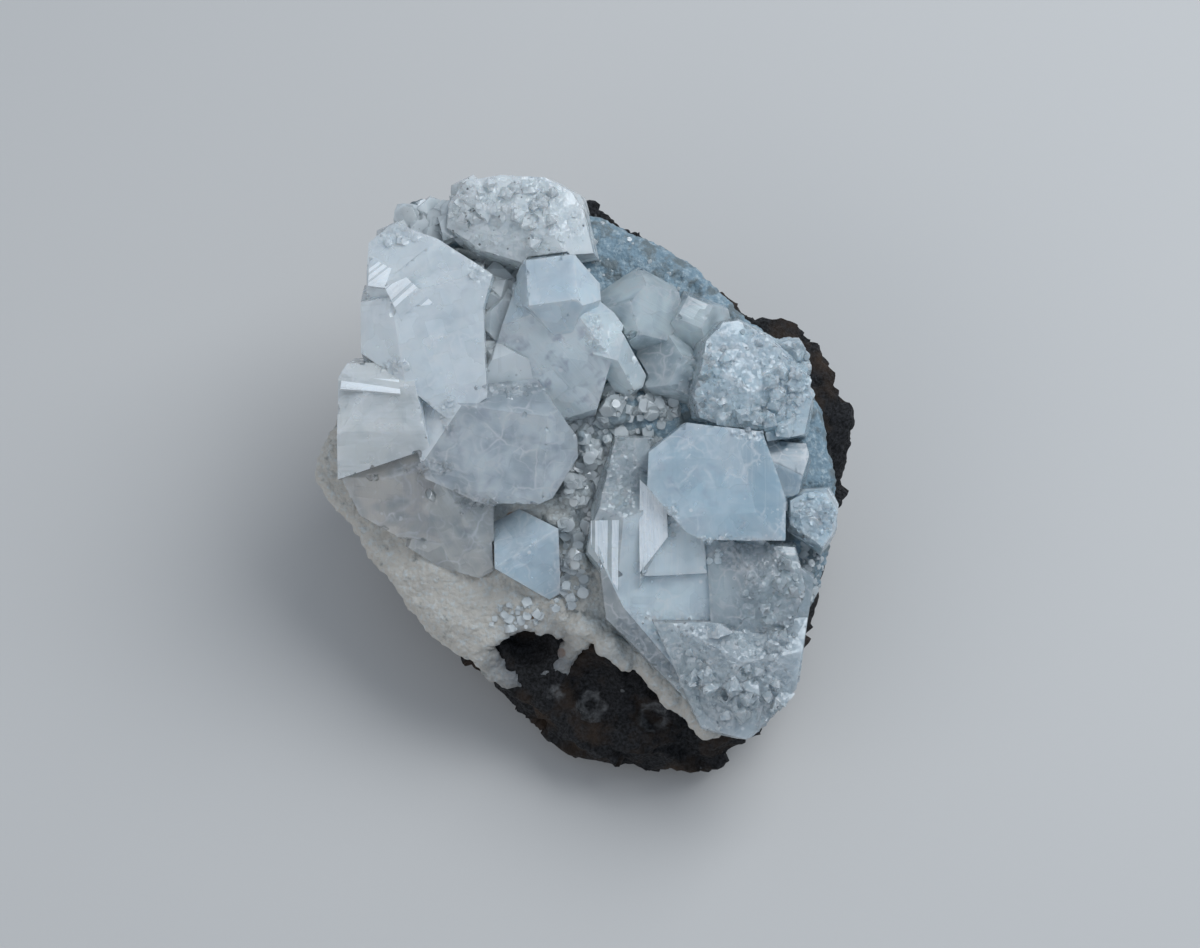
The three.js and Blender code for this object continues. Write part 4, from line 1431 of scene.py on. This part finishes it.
@dataclass
class Studio:
    """The floor, the light and the camera."""

    distance: float = 400.0
    aim_x: float = 3.5
    aim_y: float = 0.14
    lens: float = 85.7
    floor_size: float = 3.0
    sky: Colour = (0.62, 0.74, 0.90)
    sky_strength: float = 0.56

    def build(self) -> None:
        """Sets up the floor, sky, lamps and camera."""
        self.floor()
        self.light()
        self.camera()

    def floor(self) -> None:
        """Lays the pale floor at the specimen's resting face."""
        mesh = bmesh.new()
        bmesh.ops.create_grid(mesh, x_segments=1, y_segments=1, size=self.floor_size)
        floor = MeshBench.object_from("floor", mesh)
        floor.data.materials.append(FloorFinish("pale_floor").build())

    def lamp(self, name: str, spot: Point, size: float, power: float, colour: Colour) -> None:
        """Hangs one square soft lamp that faces the crystals.

        Args:
            name: the lamp's name.
            spot: its place along the plate's axes, in millimetres.
            size: its side, in millimetres.
            power: its power, in watts.
            colour: its colour.
        """
        data = bpy.data.lights.new(name, "AREA")
        data.size = size * MM
        data.energy = power
        data.color = colour
        lamp = bpy.data.objects.new(name, data)
        lamp.location = Plate.place(*spot)
        aim = Plate.place(0, 0, 0) - lamp.location
        lamp.rotation_euler = aim.to_track_quat("-Z", "Y").to_euler()
        bpy.context.scene.collection.objects.link(lamp)

    def light(self) -> None:
        """Sets the sky and the soft lamps."""
        world = bpy.data.worlds.new("sky")
        world.use_nodes = True
        back = world.node_tree.nodes["Background"]
        back.inputs["Color"].default_value = (*self.sky, 1.0)
        back.inputs["Strength"].default_value = self.sky_strength
        bpy.context.scene.world = world
        self.lamp("window", (260, 330, 330), 380, 2.4, (0.90, 0.95, 1.0))
        self.lamp("fill", (-380, -160, 300), 500, 0.7, (1.0, 0.96, 0.92))

    def camera(self) -> None:
        """Sets the camera over the plate, as the photograph was taken."""
        data = bpy.data.cameras.new("camera")
        data.lens = self.lens
        camera = bpy.data.objects.new("camera", data)
        camera.location = Plate.place(self.aim_x, self.aim_y, self.distance)
        camera.rotation_euler = (PLATE_LEAN, 0, 0)
        bpy.context.scene.collection.objects.link(camera)
        bpy.context.scene.camera = camera
        view = bpy.context.scene.view_settings
        view.view_transform = "Standard"
        cycles = bpy.context.scene.cycles
        cycles.max_bounces = 5
        cycles.transmission_bounces = 5
        cycles.diffuse_bounces = 2
        cycles.glossy_bounces = 2
        cycles.sample_clamp_indirect = 4.0


def crystal_pieces() -> list[FacetedPiece]:
    """Lists the groups of crystals with each crystal's own look.

    Returns:
        The groups, in the order that they are built.
    """
    milky = CrystalFinish("milky_crystal")
    glassy = CrystalFinish("glassy_crystal", clarity=0.62, roughness=(0.05, 0.20), veil_strength=0.6,
                           depth_strength=0.8, glint_share=0.25, crack_strength=0.9)
    # The glare-white finish paints reflection: the striped ridges are pale and barely clear to stand in for the glare
    # off those facets.
    glare_white = CrystalFinish("glare_white_crystal", clarity=0.15, roughness=(0.15, 0.35), line_pitch=4.0)
    finishes = (milky, glassy, glare_white)
    glass, white = Clearness.GLASSY, Clearness.GLARE_WHITE
    left = FacetedPiece("left_group", "left_crystals", "left_crystal", finishes=finishes, tones=(
        Tone(-21, 27, (0.83, 0.90, 0.92), cloud=0.7, lines=0.1, streaks=0.12),
        Tone(-20, 15, (0.83, 0.90, 0.93), cloud=0.7, lines=0.1, streaks=0.15),
        Tone(-28, 9, (0.82, 0.84, 0.82), cloud=0.5, lines=0.3, line_turn=0),
        Tone(-10, 3, (0.86, 0.93, 0.96), cloud=0.3, streaks=0.35, clearness=glass),
        Tone(-8.5, 9, (0.84, 0.92, 0.95), cloud=0.3, streaks=0.2, clearness=glass),
        Tone(-3, 15.5, (0.86, 0.96, 0.99), cloud=0.6, lines=0.25, line_turn=125, streaks=0.7),
        Tone(-2.6, 25, (0.74, 0.87, 0.94), cloud=0.5, lines=0.05, streaks=0.15),
        Tone(6, 17, (0.84, 0.97, 1.0), cloud=0.5, lines=0.4, line_turn=115),
        Tone(-26, -1, (0.77, 0.74, 0.69), cloud=0.2, streaks=0.3, clearness=glass),
        Tone(-17, -7, (0.74, 0.75, 0.72), cloud=0.2, streaks=0.3, clearness=glass),
        # The last tone is the white of the striped ridges: painted reflection of the glare off those facets.
        Tone(-90, 0, (0.90, 0.94, 0.95), cloud=0.7, lines=0.8, clearness=white),
    ), stripes=(
        StripedFace(((-28.5, 30.3), (-28.6, 26.2), (-26.3, 25.9), (-25.4, 28.6)),
                    turn=38, pitch=0.32, height=0.05, tones=(10, 0), share=0.72),
        StripedFace(((-26.2, 25.9), (-23.2, 27.2), (-19.4, 23.6), (-22.3, 23.2), (-23.9, 21.2)),
                    turn=42, pitch=0.32, height=0.05, tones=(10, 0), share=0.6),
        StripedFace(((-32.3, 13.5), (-24.3, 13.2), (-24.0, 11.2), (-32.4, 11.9)),
                    turn=172, pitch=0.24, height=0.06, tones=(10, 2), share=0.6),
    ), druses=(
        Druse(-24.5, 33.5, 3, 2, 8, 0.6, relief=0.06), Druse(-12.5, 29, 2, 3, 6, 0.5, relief=0.06),
        Druse(-17.5, 8, 1.2, 2.5, 8, 0.7, relief=0.05), Druse(-9, 12, 5, 1.0, 12, 0.5, relief=0.05),
        Druse(-21, 1, 4, 1.0, 12, 0.5, relief=0.05), Druse(-13.5, -3.5, 3, 1.2, 12, 0.6, relief=0.05),
        Druse(2.5, 20, 1.2, 2.6, 8, 0.5, relief=0.04), Druse(-25, 15, 2, 1.2, 8, 0.5, relief=0.05),
    ), chips=130, seed=3)
    right = FacetedPiece("right_group", "right_crystals", "right_crystal", finishes=finishes, tones=(
        Tone(19.5, -1.5, (0.54, 0.69, 0.77), cloud=0.6, lines=0.08, line_turn=90, streaks=0.25),
        Tone(27.3, -2, (0.44, 0.58, 0.66), cloud=0.5, lines=0.15, line_turn=90),
        Tone(31, 2, (0.40, 0.53, 0.60), cloud=0.3, clearness=glass),
        Tone(6, -3, (0.82, 0.92, 0.94), cloud=0.3, lines=0.3, line_turn=75, clearness=glass),
        Tone(12.5, -9.5, (0.80, 0.90, 0.94), cloud=0.4, lines=0.5, line_turn=90),
        Tone(15, -12, (0.76, 0.88, 0.93), cloud=0.4, lines=0.2, line_turn=90),
        Tone(12, -18, (0.62, 0.67, 0.68), cloud=0.2, lines=0.05, clearness=glass),
        Tone(25, -15, (0.70, 0.80, 0.83), cloud=0.35, specks=0.35, clearness=glass),
        Tone(22, -28, (0.53, 0.61, 0.64), cloud=0.4, specks=0.35),
        # The last tone is the white of the striped ridges: painted reflection of the glare off those facets.
        Tone(-90, 0, (0.78, 0.84, 0.87), cloud=0.6, lines=0.8, clearness=white),
    ), stripes=(
        StripedFace(((2.2, -6.4), (2.2, -9.6), (6.0, -16.2), (6.1, -6.2)),
                    turn=90, pitch=0.45, height=0.08, tones=(9, 3), share=0.7),
        StripedFace(((9.0, -0.6), (9.0, -13.6), (12.9, -8.6), (12.7, -4.2)),
                    turn=90, pitch=0.4, height=0.07, tones=(9, 4), share=0.85),
    ), druses=(
        Druse(22, -28, 8, 7.5, 60, 0.55, spin=40, cell=1.8, relief=0.2),
        Druse(27.5, -18, 4.5, 7, 40, 0.5, cell=1.1, relief=0.12), Druse(29, -34, 4, 3, 8, 0.45, relief=0.15),
        Druse(24, -11.5, 6, 1.6, 20, 0.5, cell=0.8), Druse(14, -24, 8, 5, 14, 0.3, cell=0.8, relief=0.06),
        Druse(6, 0, 3.4, 6, 20, 0.35, cell=0.8, relief=0.08), Druse(13.5, -6.5, 1.0, 2.6, 8, 0.5, relief=0.05),
        Druse(21, -9.2, 5, 0.8, 12, 0.45, relief=0.05), Druse(24.5, 5.5, 3.0, 0.8, 8, 0.45, relief=0.05),
    ), chips=120, grain=0.9, fine_grain=0.52, seed=5)
    back = FacetedPiece("back_group", "back_crystals", "back_crystal", finishes=finishes, tones=(
        Tone(9, 23, (0.86, 0.98, 1.0), cloud=0.3, lines=0.3, line_turn=160, clearness=glass),
        Tone(17, 21, (0.86, 0.98, 1.0), cloud=0.3, lines=0.25, line_turn=150, clearness=glass),
        Tone(13, 15, (0.80, 0.92, 0.95), cloud=0.3, lines=0.35, line_turn=30, clearness=glass),
        Tone(25, 13, (0.62, 0.77, 0.84), cloud=0.5, specks=0.3),
    ), druses=(
        Druse(24.5, 13, 8.5, 8, 80, 0.5, cell=1.3, relief=0.14), Druse(31, 14, 2.5, 5, 26, 0.8, sunk=0.5),
        Druse(18, 13, 3, 6, 24, 0.45, cell=0.9),
    ), chips=80, seed=7)
    summit = FacetedPiece("summit_group", "summit_crystals", "summit_crystal", finishes=finishes, tones=(
        Tone(-9, 36, (0.92, 0.99, 0.99), cloud=0.7, specks=0.75),
    ), druses=(
        Druse(-8.5, 36, 9.5, 5.5, 50, 0.4, cell=0.9, relief=0.05), Druse(-15, 38, 3, 3, 18, 0.6, sunk=0.5),
    ), chips=50, seed=9)
    blue = FacetedPiece("blue_crystal", "small_blue_crystal", "blue_crystal", finishes=(milky,), tones=(
        Tone(-6.8, -10.8, (0.58, 0.72, 0.80), cloud=0.4, lines=0.1, streaks=0.15),
    ), chips=6, chip_size=0.4, grain=0.4, seed=11)
    edge = FacetedPiece("edge_group", "edge_crystal", "edge_crystal", finishes=(milky,), tones=(
        Tone(33, -6, (0.62, 0.78, 0.86), cloud=0.7, lines=0.3),
    ), druses=(Druse(33.5, -6, 3.2, 3.2, 34, 0.5, sunk=0.5, relief=0.2),), chips=10, chip_size=0.4, grain=0.5, seed=13)
    return [left, right, back, summit, blue, edge]


def crust_lip() -> list[Spot]:
    """Returns the uneven crust that shows under the lower left edge of the right-hand group."""
    path = ((0.5, -21.0), (3.4, -21.8), (6.0, -24.0), (11.2, -28.2), (13.8, -30.2), (16.4, -33.4), (20.0, -36.2))
    rng = random.Random(41)
    lip = []
    for (x, y), (nx, ny) in zip(path, path[1:]):
        steps = max(2, round(math.hypot(nx - x, ny - y) / 0.8))
        for step in range(steps):
            share = step / steps
            radius = rng.uniform(0.9, 1.9)
            shift = rng.uniform(-0.7, 0.5)
            lip.append(Spot(x + (nx - x) * share + shift, y + (ny - y) * share + shift,
                            rng.uniform(-5.4, -4.2) - radius * 0.3, radius))
    return lip


def rough_pieces() -> list[RoughPiece]:
    """Lists the basalt and the rind.

    Returns:
        The two rough bodies.
    """
    hump = (Spot(-19.5, 35.0, -4.0, 3.0), Spot(-16.5, 34.5, -3.0, 2.8), Spot(-22.5, 36.0, -5.5, 2.6))
    halo = (Spot(-12.8, -26.0, -8.6, 1.9), Spot(-11.6, -27.6, -10.2, 1.9), Spot(-9.4, -28.8, -11.2, 1.9),
            Spot(-6.8, -29.4, -11.6, 1.7), Spot(-4.2, -28.6, -11.2, 1.9), Spot(-2.0, -27.0, -10.6, 1.8),
            Spot(-0.6, -25.0, -9.6, 1.8), Spot(0.4, -23.2, -7.6, 1.9))
    rings = ((2.2, -33.2, 1.6), (11.2, -34.8, 1.8), (-2.9, -31.2, 0.6))
    basalt = RoughPiece("basalt", "basalt_matrix", "basalt", BasaltFinish("basalt", rings=rings), voxel=0.6,
                        lumps=((8.0, 1.0), (3.4, 0.6), (1.5, 0.35)), ridges=((5.0, 0.4), (2.0, 0.25)),
                        breaks=((9.0, 1.5), (3.6, 0.7)),
                        pits=(Spot(-6.8, -24.6, -8.5, 3.4), Spot(2.2, -33.2, -14, 1.6),
                              Spot(11.2, -34.8, -15, 1.8)))
    rind = RoughPiece("rind", "drusy_rind", "rind", RindFinish("rind"), voxel=0.5,
                      lumps=((5.0, 0.6), (1.8, 0.35)), grains=((1.3, 0.35),), blobs=(*crust_lip(), *hump, *halo),
                      pits=(Spot(14.4, 28.0, -5, 1.3), Spot(17.2, 26.6, -5, 1.5), Spot(21.8, 22.0, -5, 1.6)),
                      seed=4.0)
    return [basalt, rind]


def valley_carpet() -> Carpet:
    """Returns the small crystals between the groups and along the rind."""
    finish = CrystalFinish("valley_crystal", clarity=0.4, roughness=(0.06, 0.25))
    tone = Tone(6, 5, (0.90, 0.97, 0.98), cloud=0.3, specks=0.3)
    patches = (
        Druse(6, 7, 9, 5.5, 170, 1.0, spin=20), Druse(0.5, -5, 3, 10, 120, 0.9, spin=-12),
        Druse(-2, -15, 3.5, 4, 50, 0.8), Druse(-9, -20, 4, 2, 26, 0.8), Druse(6, 30, 12, 4, 40, 0.4, spin=-35),
        Druse(-19.5, 35.5, 4.5, 2.5, 40, 1.8, sunk=0.5), Druse(34, -15, 2, 10, 60, 0.6),
        Druse(-11, 21, 1.8, 7.5, 40, 3.4, sunk=-0.2), Druse(-10, 29, 3, 2, 14, 2.4, sunk=0.1),
    )
    return Carpet("valley_druse", "rind", finish, tone, patches, seed=23)


def main() -> None:
    """Builds the specimen piece by piece, then its surroundings."""
    logging.basicConfig(level=logging.INFO, format="%(message)s")
    Studio().build()
    made = [piece.build() for piece in (*rough_pieces(), *crystal_pieces())]
    made.append(valley_carpet().build(made[1]))
    for piece in made:
        log.info("%s: %d faces", piece.name, len(piece.data.polygons))


if __name__ == "__main__":
    main()
